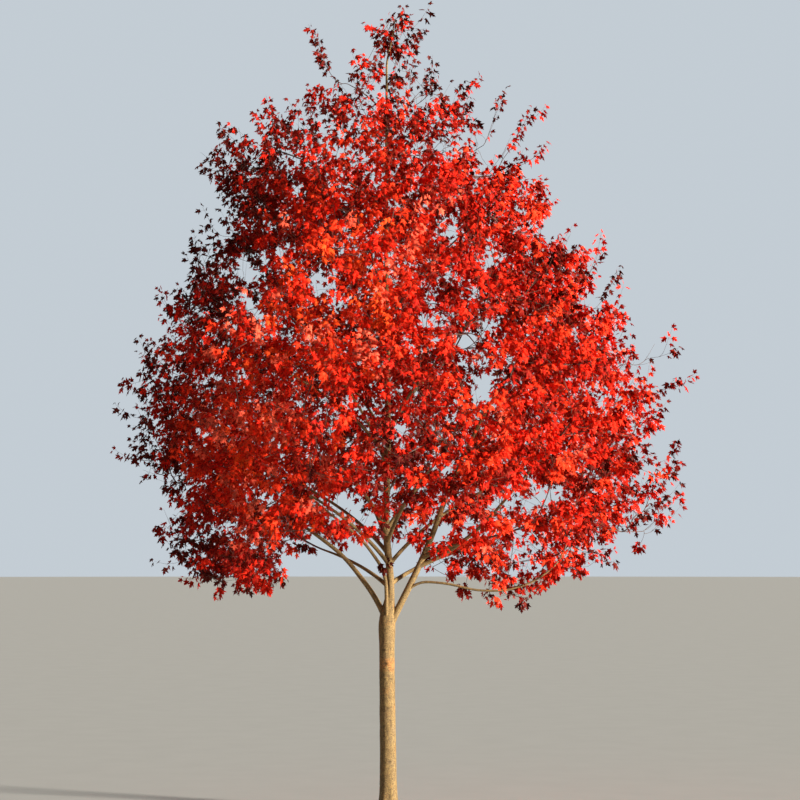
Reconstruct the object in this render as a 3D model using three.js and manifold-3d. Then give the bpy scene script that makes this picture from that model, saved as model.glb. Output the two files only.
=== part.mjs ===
// A young sugar maple in autumn leaf: a straight trunk, a low fork, tapering boughs and rings of foliage.
// Millimetres, +Z up. The origin is the middle of the flat cut under the trunk, at ground level.
// The front of the tree faces -Y and its right side lies towards +X. Azimuths run from +X towards +Y.

import * as THREE from "three";
import { mergeGeometries, mergeVertices } from "three/addons/utils/BufferGeometryUtils.js";
import Module from "manifold-3d";

const wasm = await Module();
wasm.setup();

// Trunk and leader
const TRUNK_TOP = 9380; // height where the leader hands over to the top spray
const BOLE_RADIUS = 101;
const BOLE_TAPER = 0.0055; // the radius lost with each millimetre of height
const FLARE = 30; // added at the ground
const FLARE_HEIGHT = 110;
const FLARE_LOBES = 5;
const LOBE_DEPTH = 0.13; // share of the radius that the root flare swells and sinks by
const LOBE_HEIGHT = 220;
const FORK_HEIGHT = 2170;
const FORK_SWELL = 12; // the bole widens by this under the fork
const FORK_SPREAD = 180;
const FORK_LENGTH = 380; // the stretch over which the bole narrows to the leader
const LEADER_RADIUS = 47;
const LEADER_TIP_RADIUS = 9;
const LEADER_TAPER = 0.85;
const TRUNK_SIDES = 12;
const BOLE_RINGS = 11; // from the ground to the top of the fork, closer together near the ground
const BOLE_CROWDING = 1.15;
const LEADER_RINGS = 12; // above the fork
// The leader wanders a little: height, then its offset in X and in Y
const LEADER_DRIFT = [
  [0, 0, 0],
  [2150, -18, 0],
  [2600, 26, 16],
  [3430, -30, 24],
  [4400, -6, 8],
  [6500, -26, -14],
  [8900, -24, 4],
  [9450, 60, 14],
];

// Crown outline: height, then how far the leaves reach to the left and to the right
const CROWN = [
  [2400, 1500, 1800],
  [2900, 2350, 2400],
  [3500, 2600, 3200],
  [4300, 2900, 3100],
  [5000, 2950, 3300],
  [5450, 2950, 3000],
  [6200, 2500, 2700],
  [6900, 2000, 2200],
  [7500, 2000, 1800],
  [7900, 2250, 1750],
  [8300, 1800, 1200],
  [8650, 1050, 1050],
  [9050, 850, 480],
  [9700, 150, 260],
];
const CROWN_TOP = CROWN[CROWN.length - 1][0];
const SKIRT_LOW = 2480; // lowest leaves, out at the sides
const CENTRE_LOW = 3250; // lowest leaves over the fork
const OPEN_RADIUS = [450, 1000]; // the open cone over the fork, from its middle to its edge
const FRONT_LIFT = 750; // how much higher the leaves start at the front and the back
const LUMP = 0.09; // swell of the outline, as a share of its radius, at the front and the back
const LUMP_WAVES = [
  [3, 700],
  [5, -450],
]; // swells round the tree, and the rise over which each turns by a radian
// Single shoots that reach past the outline: X and height of each tip
const SHOOTS = [
  [570, 9660],
  [120, 9700],
  [-918, 9192],
  [-2202, 8232],
  [-2346, 7092],
  [-2862, 6252],
  [-3162, 5412],
  [-3246, 4272],
  [1350, 8628],
  [1878, 8472],
  [2022, 7932],
  [2598, 6936],
  [2982, 6192],
  [3642, 5616],
  [3762, 5052],
  [3498, 4092],
];
const SHOOT_LEAF = 520; // length of the leaf at a shoot's end
const SHOOT_DIPS = [0, 0.4, -0.4, 0.8, -0.8, 1.4]; // how much more from below its twig comes, tried in turn
const SHOOT_DEPTH = 600; // they lie within this much of the middle plane, front to back
// The front and the back have shoots of their own
const ROUND_SHOOTS = 12;
const ROUND_HEIGHTS = [3900, 8700];
const ROUND_REACH = 1.12; // their tips' share of the crown's radius
const ROUND_FAN = 35; // degrees to each side of the front or the back
const SHOOT_COUNTS = 100; // the count of a mass's first spray, after the shoots'
// Places where the sky shows through, as seen from the front: X, height and radius
const SKY_GAPS = [
  [-650, 6130, 230],
  [1120, 4950, 200],
  [1900, 3730, 220],
  [-260, 4750, 130],
  [-1440, 3650, 120],
  [1210, 6510, 120],
];
const EYE_DISTANCE = 26000;
const EYE_HEIGHT = 3000;

// The limbs that show below the leaves. Their heading and rise are angles at even steps along them.
const LIMBS = [
  {
    name: "bough_right_steep",
    height: 1976,
    heading: [0, 3, 0, -4],
    rise: [81, 63, 64, 67, 71, 66, 66, 62, 58],
    length: 3300,
    radii: [46, 17],
  },
  {
    name: "bough_right",
    parent: "bough_right_steep",
    share: 0.3,
    heading: [-10, -20, -24],
    rise: [22, 36, 48, 46],
    length: 1850,
    radii: [27, 13],
  },
  {
    name: "bough_right_low",
    parent: "bough_right_steep",
    share: 0.2,
    heading: [-14, -4, 4],
    rise: [41, -4, -14, -1, 17, 36, 63],
    length: 2080,
    radii: [16, 10],
  },
  {
    name: "bough_left_low",
    height: 2220,
    heading: [176, 172, 180],
    rise: [66, 52, 36, 32],
    length: 1900,
    radii: [36, 14],
  },
  {
    name: "bough_front_left",
    height: 1900,
    heading: [268, 262, 214, 208, 206],
    rise: [80, 86, 50, 34, 38],
    length: 2300,
    radii: [27, 12],
  },
];
const LIMB_STEPS = 40;
const BOUGH_SIDES = 6;
const BOUGH_RINGS = 6;
const ARCH = [0.36, 0.62]; // where an arched bough's control point lies, along and up
const BOUGH_SHARE = 0.62; // share of the way to its mass at which an arched bough ends

// Foliage tiers from the ground up. reach is a share of the crown's radius. ring is a count and the first
// azimuth, and sides puts three masses at the left and three at the right, that many degrees apart. from is
// where the limbs leave the leader, and step is the rise from one such place to the next. A tier has boughs
// where it gives their end radii, and stems straight from the leader where it gives one radius.
const TIERS = [
  { name: "skirt", height: 3350, reach: 0.68, sides: 42, from: 2490, step: 60, radii: [27, 12] },
  { name: "low", height: 4500, reach: 0.74, ring: [8, 20], from: 2900, step: 130, radii: [25, 12] },
  { name: "heart", height: 4350, reach: 0.29, ring: [3, 60], from: 3720, step: 110, stem: 13 },
  { name: "middle", height: 5800, reach: 0.7, ring: [6, 0], from: 4050, step: 130, radii: [22, 11] },
  { name: "core", height: 5650, reach: 0.27, ring: [3, 30], from: 4950, step: 90, stem: 12 },
  { name: "high", height: 6950, reach: 0.63, ring: [5, 36], from: 5800, step: 100, stem: 14 },
  { name: "upper", height: 7900, reach: 0.6, ring: [4, 0], from: 6950, step: 110, stem: 12 },
  { name: "crest", height: 8700, reach: 0.45, ring: [2, 0], from: 7950, step: 120, stem: 9 },
];
const STAGGER = [0, 3, 2, 1]; // rises in turn round a tier
const TOP_MASS = [90, 10, 9540];
const FLOOR_CLEARANCE = 650; // a mass's middle is at least this far above the lowest leaves there
const STEM_BEND = 0.45; // share of its way over which a stem keeps its bough's direction
const STEM_END_RADIUS = 8;
// Masses that one of the limbs above carries
const CARRIED = {
  foliage_skirt_right: "bough_right_low",
  foliage_skirt_left: "bough_left_low",
  foliage_skirt_front_left: "bough_front_left",
  foliage_low_front_right: "bough_right",
  foliage_middle_right: "bough_right_steep",
};
// Masses whose own bough forks from one of them
const FORKED = { foliage_skirt_front_right: { parent: "bough_right_steep", share: 0.335 } };
const SIDES = ["right", "back_right", "back", "back_left", "left", "front_left", "front", "front_right"];

// Twigs and leaves. One leaf here stands for a spray of real ones.
const SPRAYS = 3; // in each mass, shoots left out
const LEAST_LEAVES = 2; // a spray with fewer is skipped
const TRIES = 600; // targets tried before a mass is left with fewer
const MASS_REACH = 1300; // half the box that a mass's targets are spread over
const LEAF_LENGTH = [660, 800];
const NARROW_CROWN = 1500; // leaves shrink with the crown's radius where it is less than this
const NARROW_LEAST = 0.55;
const LEAF_THICKNESS = 0.06; // share of the length
const LEAF_OUTLINE = [
  [0, 0],
  [0.2, -0.05],
  [0.48, -0.5],
  [1, 0],
  [0.48, 0.5],
  [0.2, 0.05],
]; // along the leaf and across it, as shares of its length
const LEAF_MIDDLE = 0.36; // where the leaf is thickest
const LEAF_SUNK = 2; // how far past the twig's middle a leaf's foot goes
// The leaves of a spray: share along the twig's outer half, turn in degrees and size
const SPRAY = [
  { share: 0.99, turn: 0, scale: 1 },
  { share: 0.5, turn: 68, scale: 0.85 },
  { share: 0.4, turn: -68, scale: 0.85 },
];
const LEAF_DROOP = 0.75;
const LEAF_FACING = 0.7; // how far the leaves face up, beside how far they face outwards
const LEAF_TWIST = 1.6; // and how far at most to one side
const TWIG_END_RADIUS = 6;
const FORK_THIN = 0.5; // a twig starts no thicker than this share of the one that carries it
const TWIG_SHARE = 0.8; // share of the stem's radius that the first twigs have
const TWIG_TAPER = 650; // way along the twigs over which they thin
const WAY_WEIGHT = 0.35; // weight of the way back to the stem when a twig picks its fork
const TURN_WEIGHT = 0.3; // weight of a twig's turn from the one that carries it
const TWIG_ARCH = 0.35; // share of its span over which a twig keeps its fork's heading
const TWIG_LIFT = 0.08;
const TWIG_RINGS = 3;
const TWIG_SIDES = 3;
const CELL_MARGIN = 4; // half the clear space between two masses
const LIMB_MARGIN = 4;
const GAP = 0.3; // clear space where one solid is seated on another
const TWIG_REACH = 0.95; // share of the crown's radius that the twigs grow to
const HEART_THIN = 0.45; // share of the crown's radius inside which leaves grow thin
const SEED = 7;
const [DEPTH_DRAW, FAN_DRAW, TWIST_DRAW, SIZE_DRAW] = [1, 2, 3, 4]; // one seeded draw for each use

const BARK = { color: 0xa38a63, roughness: 0.9, metalness: 0 };
const FOLIAGE = { color: 0xb5170e, roughness: 0.75, metalness: 0 };

const UP = new THREE.Vector3(0, 0, 1);
const radians = THREE.MathUtils.degToRad;
const mix = THREE.MathUtils.lerp;
const smooth = THREE.MathUtils.smoothstep;

// The value at x of a table of rows, easing from row to row; column is the value's place in a row.
function eased(rows, x, column) {
  if (x <= rows[0][0]) return rows[0][column];
  for (let i = 1; i < rows.length; i++) {
    if (x > rows[i][0]) continue;
    const share = smooth(x, rows[i - 1][0], rows[i][0]);
    return mix(rows[i - 1][column], rows[i][column], share);
  }
  return rows[rows.length - 1][column];
}

// A number from 0 to 1 that looks random and is always the same for a place in the count and a use.
function chance(count, use) {
  const wave = Math.sin(count * 12.9898 + use * 78.233 + SEED) * 43758.5453;
  return wave - Math.floor(wave);
}

// Even filling of a box: number k of point n of the four-way golden sequence.
const GOLDEN_FOUR = 1.1673039782614187;
function spread(n, k) {
  const value = 0.5 + n / GOLDEN_FOUR ** (k + 1);
  return value - Math.floor(value);
}

function trunkRadius(height) {
  const flare = FLARE * Math.exp(-height / FLARE_HEIGHT);
  const swell = FORK_SWELL * Math.exp(-(((height - FORK_HEIGHT) / FORK_SPREAD) ** 2));
  const bole = BOLE_RADIUS - BOLE_TAPER * height + flare + swell;
  const left = Math.max(0, (TRUNK_TOP - height) / (TRUNK_TOP - FORK_HEIGHT));
  const leader = LEADER_TIP_RADIUS + (LEADER_RADIUS - LEADER_TIP_RADIUS) * left ** LEADER_TAPER;
  return mix(bole, leader, smooth(height, FORK_HEIGHT, FORK_HEIGHT + FORK_LENGTH));
}

function trunkPoint(height) {
  return new THREE.Vector3(eased(LEADER_DRIFT, height, 1), eased(LEADER_DRIFT, height, 2), height);
}

// How far the crown reaches at a height and an azimuth: the left and right outlines, blended round the tree.
function crownRadius(height, azimuth) {
  const right = (1 + Math.cos(azimuth)) / 2;
  const radius = mix(eased(CROWN, height, 1), eased(CROWN, height, 2), right);
  const waves = LUMP_WAVES.map(([count, rise]) => Math.sin(count * azimuth + height / rise));
  const swell = (waves[0] + waves[1]) / 2;
  return radius * (1 + LUMP * swell * Math.abs(Math.sin(azimuth)));
}

// The lowest leaves at a distance from the trunk and an azimuth.
function crownFloor(radius, azimuth) {
  const open = 1 - smooth(radius, OPEN_RADIUS[0], OPEN_RADIUS[1]);
  const lift = FRONT_LIFT * Math.abs(Math.sin(azimuth)) ** 3;
  return mix(SKIRT_LOW + lift, Math.max(CENTRE_LOW, SKIRT_LOW + lift), open);
}

// How far out a point is, as a share of the crown's radius there; over 1 is outside.
function crownShare(p) {
  const azimuth = Math.atan2(p.y, p.x);
  const radius = Math.hypot(p.x, p.y);
  if (p.z < crownFloor(radius, azimuth) || p.z > CROWN_TOP) return Infinity;
  return radius / crownRadius(p.z, azimuth);
}

// True where the line of sight from the front passes through one of the sky gaps.
function inSkyGap(p) {
  const scale = EYE_DISTANCE / (EYE_DISTANCE + p.y);
  const x = p.x * scale;
  const z = EYE_HEIGHT + (p.z - EYE_HEIGHT) * scale;
  return SKY_GAPS.some(([gapX, gapZ, radius]) => Math.hypot(x - gapX, z - gapZ) < radius);
}

const WELD = 1e-4; // corners closer than this are one
function solidOf(geometry) {
  geometry.deleteAttribute("normal");
  geometry.deleteAttribute("uv");
  const merged = mergeVertices(geometry, WELD);
  return new wasm.Manifold(
    new wasm.Mesh({
      numProp: 3,
      vertProperties: merged.attributes.position.array,
      triVerts: new Uint32Array(merged.index.array),
    }),
  );
}

// A cylinder bent along a path. rings holds each ring's centre, direction and radius from start to end, and
// side is a direction square to the path's own plane.
function tube(rings, sides, side, swell = () => 1) {
  const geometry = new THREE.CylinderGeometry(1, 1, 1, sides, rings.length - 1);
  const place = geometry.attributes.position;
  const v = new THREE.Vector3();
  for (let i = 0; i < place.count; i++) {
    v.fromBufferAttribute(place, i);
    const ring = rings[Math.round((v.y + 0.5) * (rings.length - 1))];
    const across = new THREE.Vector3().crossVectors(ring.heading, side).normalize();
    const along = new THREE.Vector3().crossVectors(across, ring.heading);
    const radius = ring.radius * swell(Math.atan2(v.x, v.z), ring.centre.z);
    const offset = across.multiplyScalar(v.x).addScaledVector(along, v.z).multiplyScalar(radius);
    const point = ring.centre.clone().add(offset);
    place.setXYZ(i, point.x, point.y, point.z);
  }
  return solidOf(geometry);
}

// A direction square to a heading and as level as it can be.
const NEARLY_UPRIGHT = 0.05;
function levelSide(heading) {
  const side = new THREE.Vector3().crossVectors(UP, heading);
  return side.length() > NEARLY_UPRIGHT ? side.normalize() : new THREE.Vector3(0, 1, 0);
}

function ringsAlong(curve, radii, count) {
  return Array.from({ length: count }, (_, i) => {
    const share = i / (count - 1);
    return {
      centre: curve.getPoint(share),
      heading: curve.getTangent(share),
      radius: mix(radii[0], radii[1], share),
    };
  });
}

// The trunk's solid. grow widens it all round.
function trunkSolid(grow) {
  const forkTop = FORK_HEIGHT + FORK_LENGTH;
  const heights = [];
  for (let i = 0; i < BOLE_RINGS; i++) heights.push(forkTop * (i / BOLE_RINGS) ** BOLE_CROWDING);
  for (let i = 0; i <= LEADER_RINGS; i++) heights.push(mix(forkTop, TRUNK_TOP, i / LEADER_RINGS));
  const rings = heights.map((height) => ({
    centre: trunkPoint(height),
    heading: UP,
    radius: trunkRadius(height) + grow,
  }));
  const lobes = (angle, height) => {
    return 1 + LOBE_DEPTH * Math.sin(FLARE_LOBES * angle) * Math.exp(-height / LOBE_HEIGHT);
  };
  return tube(rings, TRUNK_SIDES, new THREE.Vector3(0, 1, 0), lobes);
}

// A limb's curve, walked in even steps along its heading and rise angles.
class LimbCurve extends THREE.Curve {
  constructor(start, limb) {
    super();
    this.points = [start.clone()];
    const angle = (list, share) => radians(eased(list.map((a, i) => [i / (list.length - 1), a]), share, 1));
    for (let i = 0; i < LIMB_STEPS; i++) {
      const share = (i + 0.5) / LIMB_STEPS;
      const heading = angle(limb.heading, share);
      const rise = angle(limb.rise, share);
      const step = new THREE.Vector3(
        Math.cos(rise) * Math.cos(heading),
        Math.cos(rise) * Math.sin(heading),
        Math.sin(rise),
      );
      this.points.push(this.points[i].clone().addScaledVector(step, limb.length / LIMB_STEPS));
    }
  }

  getPoint(share) {
    const at = share * LIMB_STEPS;
    const i = Math.min(LIMB_STEPS - 1, Math.floor(at));
    return this.points[i].clone().lerp(this.points[i + 1], at - i);
  }

  getTangent(share) {
    const i = Math.min(LIMB_STEPS - 1, Math.floor(share * LIMB_STEPS));
    return this.points[i + 1].clone().sub(this.points[i]).normalize();
  }
}

// A bough that rises steeply from its parent and flattens on its way to a mass.
function archedCurve(start, end) {
  const way = end.clone().sub(start);
  const control = start.clone().add(new THREE.Vector3(way.x * ARCH[0], way.y * ARCH[0], way.z * ARCH[1]));
  return new THREE.QuadraticBezierCurve3(start, control, end);
}

function limbSolid(curve, radii, rings, sides) {
  const middle = curve.getTangent(0.5);
  return tube(ringsAlong(curve, radii, rings), sides, levelSide(middle));
}

// Only the largest piece of a solid, so that no loose scrap is left by a cut.
function largest(solid) {
  return solid.decompose().reduce((a, b) => (a.volume() > b.volume() ? a : b));
}

// All limbs by name: their curve, end radii, solid, and the same solid grown by the gap.
const limbs = new Map();
limbs.set("trunk", { solid: trunkSolid(0), grown: trunkSolid(GAP) });

function addBough(name, curve, radii, parent) {
  const whole = limbSolid(curve, radii, BOUGH_RINGS, BOUGH_SIDES);
  const grown = limbSolid(curve, radii.map((r) => r + GAP), BOUGH_RINGS, BOUGH_SIDES);
  limbs.set(name, { curve, radii, grown, solid: largest(whole.subtract(limbs.get(parent).grown)) });
}

for (const limb of LIMBS) {
  const start = limb.parent ? limbs.get(limb.parent).curve.getPoint(limb.share) : trunkPoint(limb.height);
  addBough(limb.name, new LimbCurve(start, limb), limb.radii, limb.parent ?? "trunk");
}

// The masses: a centre for each, and the stem that comes from its bough's tip or from the trunk.
const masses = [];

function addMass(name, centre, stemCurve, stemRadius, cutter) {
  const radii = [stemRadius, STEM_END_RADIUS];
  const whole = limbSolid(stemCurve, radii, TWIG_RINGS, TWIG_SIDES);
  const stem = cutter ? largest(whole.subtract(cutter)) : whole;
  masses.push({ name, centre, stemCurve, stemRadius, stem });
}

function stemFromBough(name, centre, bough) {
  const { curve, radii } = limbs.get(bough);
  const heading = curve.getTangent(1);
  const start = curve.getPoint(1).addScaledVector(heading, GAP);
  const control = start.clone().addScaledVector(heading, STEM_BEND * start.distanceTo(centre));
  addMass(name, centre, new THREE.QuadraticBezierCurve3(start, control, centre), radii[1]);
}

function azimuthsOf(tier) {
  if (tier.sides) return [0, tier.sides, 180 - tier.sides, 180, 180 + tier.sides, 360 - tier.sides];
  const [count, first] = tier.ring;
  return Array.from({ length: count }, (_, k) => first + (360 / count) * k);
}

function massCentre(tier, angle) {
  const radius = tier.reach * crownRadius(tier.height, angle);
  const height = Math.max(tier.height, crownFloor(radius, angle) + FLOOR_CLEARANCE);
  return new THREE.Vector3(radius * Math.cos(angle), radius * Math.sin(angle), height);
}

// The limb or stem of mass k of a tier: neighbours leave the leader at different heights.
function addTierMass(tier, azimuth, k) {
  const side = SIDES[Math.round((azimuth * SIDES.length) / 360) % SIDES.length];
  const name = `foliage_${tier.name}_${side}`;
  const centre = massCentre(tier, radians(azimuth));
  const start = trunkPoint(tier.from + tier.step * STAGGER[k % STAGGER.length]);
  if (tier.stem) {
    addMass(name, centre, archedCurve(start, centre), tier.stem, limbs.get("trunk").grown);
    return;
  }
  const bough = CARRIED[name] ?? `bough_${tier.name}_${side}`;
  if (!CARRIED[name]) {
    const { parent, share } = FORKED[name] ?? { parent: "trunk" };
    const foot = share ? limbs.get(parent).curve.getPoint(share) : start;
    addBough(bough, archedCurve(foot, foot.clone().lerp(centre, BOUGH_SHARE)), tier.radii, parent);
  }
  stemFromBough(name, centre, bough);
}

function addTopMass() {
  const start = trunkPoint(TRUNK_TOP).addScaledVector(UP, GAP);
  const centre = new THREE.Vector3(...TOP_MASS);
  const control = start.clone().addScaledVector(UP, STEM_BEND * start.distanceTo(centre));
  addMass("foliage_top", centre, new THREE.QuadraticBezierCurve3(start, control, centre), LEADER_TIP_RADIUS);
}

for (const tier of TIERS) azimuthsOf(tier).forEach((azimuth, k) => addTierMass(tier, azimuth, k));
addTopMass();

// The mass whose centre is nearest, and how far a point is inside that mass's own space.
function nearestMass(p) {
  return masses.reduce((a, b) => (a.centre.distanceTo(p) < b.centre.distanceTo(p) ? a : b));
}

function inSpace(mass, p) {
  return masses.every((other) => {
    if (other === mass) return true;
    const middle = other.centre.clone().add(mass.centre).multiplyScalar(0.5);
    const away = mass.centre.clone().sub(other.centre).normalize();
    return p.clone().sub(middle).dot(away) > CELL_MARGIN;
  });
}

// Where a leaf's own axes put a point: along it, across it and up from its back, as shares of its length.
function onLeaf(leaf, u, v, w) {
  const across = new THREE.Vector3().crossVectors(leaf.face, leaf.axis);
  const point = leaf.base.clone().addScaledVector(leaf.axis, u * leaf.length);
  return point.addScaledVector(across, v * leaf.length).addScaledVector(leaf.face, w * leaf.length);
}

function leafCorners(leaf) {
  const rim = LEAF_OUTLINE.map(([u, v]) => onLeaf(leaf, u, v, 0));
  return [...rim, onLeaf(leaf, LEAF_MIDDLE, 0, LEAF_THICKNESS)];
}

// A leaf's solid: a flat outline for its back, and a low open cone over it whose rim is the same outline.
function leafSolid(leaf) {
  const count = LEAF_OUTLINE.length;
  const cone = new THREE.ConeGeometry(1, 1, count, 1, true);
  const rim = cone.attributes.position;
  for (let i = 0; i < rim.count; i++) {
    const turn = Math.round((Math.atan2(rim.getX(i), rim.getZ(i)) / (2 * Math.PI)) * count);
    const [u, v] = LEAF_OUTLINE[(turn + count) % count];
    if (rim.getY(i) > 0) rim.setXYZ(i, LEAF_MIDDLE, 0, LEAF_THICKNESS);
    else rim.setXYZ(i, u, v, 0);
  }
  const outline = new THREE.Shape(LEAF_OUTLINE.map(([u, v]) => new THREE.Vector2(u, v)));
  const back = new THREE.ShapeGeometry(outline);
  back.index.array.reverse();
  const geometry = mergeGeometries([cone, back]);
  const place = geometry.attributes.position;
  for (let i = 0; i < place.count; i++) {
    const point = onLeaf(leaf, place.getX(i), place.getY(i), place.getZ(i));
    place.setXYZ(i, point.x, point.y, point.z);
  }
  return solidOf(geometry);
}

const NEARLY_ALONG = 0.9;
// The leaves of the spray on a twig's curve. A shoot's end leaf points to its tip and ends there.
function sprayLeaves(curve, count, tip) {
  const middle = curve.getPoint(0.5);
  const narrow = crownRadius(middle.z, Math.atan2(middle.y, middle.x)) / NARROW_CROWN;
  const room = Math.min(1, Math.max(NARROW_LEAST, narrow));
  const size = room * mix(LEAF_LENGTH[0], LEAF_LENGTH[1], chance(count, SIZE_DRAW));
  return SPRAY.map(({ share, turn, scale }, k) => {
    const foot = middle.clone().lerp(curve.getPoint(1), share);
    const outwards = new THREE.Vector3(foot.x, foot.y, 0).normalize();
    const axis = curve.getTangent(1).addScaledVector(UP, tip ? 0 : -LEAF_DROOP).normalize();
    if (tip && k === 0) axis.copy(tip).sub(foot).normalize();
    const face = outwards.clone().addScaledVector(UP, LEAF_FACING);
    face.addScaledVector(levelSide(outwards), LEAF_TWIST * (2 * chance(count, TWIST_DRAW) - 1)).normalize();
    if (Math.abs(face.dot(axis)) > NEARLY_ALONG) face.copy(levelSide(axis));
    face.addScaledVector(axis, -face.dot(axis)).normalize();
    axis.applyAxisAngle(face, radians(turn));
    const length = tip && k === 0 ? foot.distanceTo(tip) + LEAF_SUNK : scale * size;
    return { base: foot.addScaledVector(axis, -LEAF_SUNK), axis, face, length };
  });
}

function twigRadius(mass, way) {
  return TWIG_END_RADIUS + (TWIG_SHARE * mass.stemRadius - TWIG_END_RADIUS) * Math.exp(-way / TWIG_TAPER);
}

// The place on a mass's twigs that a new twig forks from: near its target and not far from the stem.
function forkFor(mass, target) {
  const cost = (node) => {
    const way = target.clone().sub(node.point);
    const turn = 1 - way.clone().normalize().dot(node.heading);
    return way.length() * (1 + TURN_WEIGHT * turn) + WAY_WEIGHT * node.way;
  };
  return mass.nodes.reduce((a, b) => (cost(a) < cost(b) ? a : b));
}

function nearBox(a, b) {
  const [p, q] = [a.boundingBox(), b.boundingBox()];
  return [0, 1, 2].every((k) => p.min[k] < q.max[k] + LIMB_MARGIN && q.min[k] < p.max[k] + LIMB_MARGIN);
}

function isClear(solid, obstacles) {
  const near = obstacles.filter((other) => nearBox(solid, other));
  return near.every((other) => solid.minGap(other, LIMB_MARGIN) >= LIMB_MARGIN);
}

function startTwigs(mass) {
  const length = mass.stemCurve.getLength();
  mass.nodes = [0.5, 1].map((share) => ({
    point: mass.stemCurve.getPoint(share),
    heading: mass.stemCurve.getTangent(share),
    way: share * length,
  }));
  mass.solids = [mass.stem];
  mass.obstacles = [...limbs.values()].map((limb) => limb.solid);
  masses.filter((other) => other !== mass).forEach((other) => mass.obstacles.push(other.stem));
}

// Grows one twig with its spray. Leaves that leave the mass's space, leave the crown or touch a limb are
// skipped, and so is a twig that does so or has too few leaves left. tip is given only for a shoot.
function growSpray(mass, target, count, tip) {
  const fork = forkFor(mass, target);
  const span = fork.point.distanceTo(target);
  const control = fork.point.clone().addScaledVector(fork.heading, TWIG_ARCH * span);
  control.addScaledVector(UP, TWIG_LIFT * span);
  const curve = new THREE.QuadraticBezierCurve3(fork.point, control, target);
  const end = twigRadius(mass, fork.way + span);
  const radii = [Math.min(end, FORK_THIN * twigRadius(mass, fork.way)), end];
  const twig = limbSolid(curve, radii, TWIG_RINGS, TWIG_SIDES);
  const middle = curve.getPoint(0.5);
  if (!inSpace(mass, middle) || !inSpace(mass, target) || !isClear(twig, mass.obstacles)) return false;
  const inCrown = (p) => (tip ? p.z <= CROWN_TOP : crownShare(p) < 1);
  const fits = (p) => inSpace(mass, p) && inCrown(p) && !inSkyGap(p);
  const leaves = sprayLeaves(curve, count, tip)
    .map((leaf) => leafCorners(leaf).every(fits) && leafSolid(leaf))
    .map((leaf) => leaf && isClear(leaf, mass.obstacles) && leaf);
  if (tip && !leaves[0]) return false;
  const kept = leaves.filter(Boolean);
  if (kept.length < (tip ? 1 : LEAST_LEAVES)) return false;
  mass.nodes.push({ point: middle, heading: curve.getTangent(0.5), way: fork.way + span / 2 });
  mass.nodes.push({ point: target, heading: curve.getTangent(1), way: fork.way + span });
  mass.solids.push(twig, ...kept);
  return true;
}

// A shoot's twig ends a leaf short of its tip, and comes to it from the mass's middle or more from below.
function growShoot(tip, count) {
  const mass = nearestMass(tip);
  return SHOOT_DIPS.some((dip) => {
    const inwards = mass.centre.clone().sub(tip).normalize().addScaledVector(UP, -dip).normalize();
    return growSpray(mass, tip.clone().addScaledVector(inwards, SHOOT_LEAF), count, tip);
  });
}

// Shoots come first: those seen against the sky at the left and right, then the front's and the back's.
function growShoots() {
  SHOOTS.forEach(([x, height], k) => {
    growShoot(new THREE.Vector3(x, SHOOT_DEPTH * (chance(k, DEPTH_DRAW) - 0.5), height), k);
  });
  for (let k = 0; k < ROUND_SHOOTS; k++) {
    const height = mix(ROUND_HEIGHTS[0], ROUND_HEIGHTS[1], (k + 0.5) / ROUND_SHOOTS);
    const azimuth = radians(90 + 180 * (k % 2) + ROUND_FAN * (2 * chance(k, FAN_DRAW) - 1));
    const radius = ROUND_REACH * crownRadius(height, azimuth);
    const tip = new THREE.Vector3(radius * Math.cos(azimuth), radius * Math.sin(azimuth), height);
    growShoot(tip, SHOOTS.length + k);
  }
}

// The rest of each mass's space is filled evenly, and thinly near the leader.
function fillMass(mass) {
  for (let n = 1, grown = 0; grown < SPRAYS && n < TRIES; n++) {
    const offset = new THREE.Vector3(spread(n, 0) - 0.5, spread(n, 1) - 0.5, spread(n, 2) - 0.5);
    const target = offset.multiplyScalar(2 * MASS_REACH).add(mass.centre);
    const share = crownShare(target);
    if (share > TWIG_REACH || inSkyGap(target) || spread(n, 3) > share / HEART_THIN) continue;
    if (inSpace(mass, target) && growSpray(mass, target, SHOOT_COUNTS + n)) grown++;
  }
}

masses.forEach(startTwigs);
growShoots();
masses.forEach(fillMass);

function meshOf(name, solid, look) {
  const { vertProperties, triVerts } = solid.getMesh();
  const geometry = new THREE.BufferGeometry();
  geometry.setAttribute("position", new THREE.BufferAttribute(vertProperties, 3));
  geometry.setIndex(new THREE.BufferAttribute(triVerts, 1));
  geometry.computeVertexNormals();
  const mesh = new THREE.Mesh(geometry, new THREE.MeshStandardMaterial(look));
  mesh.name = name;
  return mesh;
}

const tree = new THREE.Group();
for (const [name, limb] of limbs) tree.add(meshOf(name, limb.solid, BARK));
for (const mass of masses) tree.add(meshOf(mass.name, largest(wasm.Manifold.union(mass.solids)), FOLIAGE));

export default tree;
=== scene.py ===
"""A young sugar maple in autumn leaf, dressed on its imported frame: bark, twigs and sprays of red leaves.

Metres, +Z up. The origin is the middle of the flat cut under the trunk. The front faces -Y.
"""

import functools
import math

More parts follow.
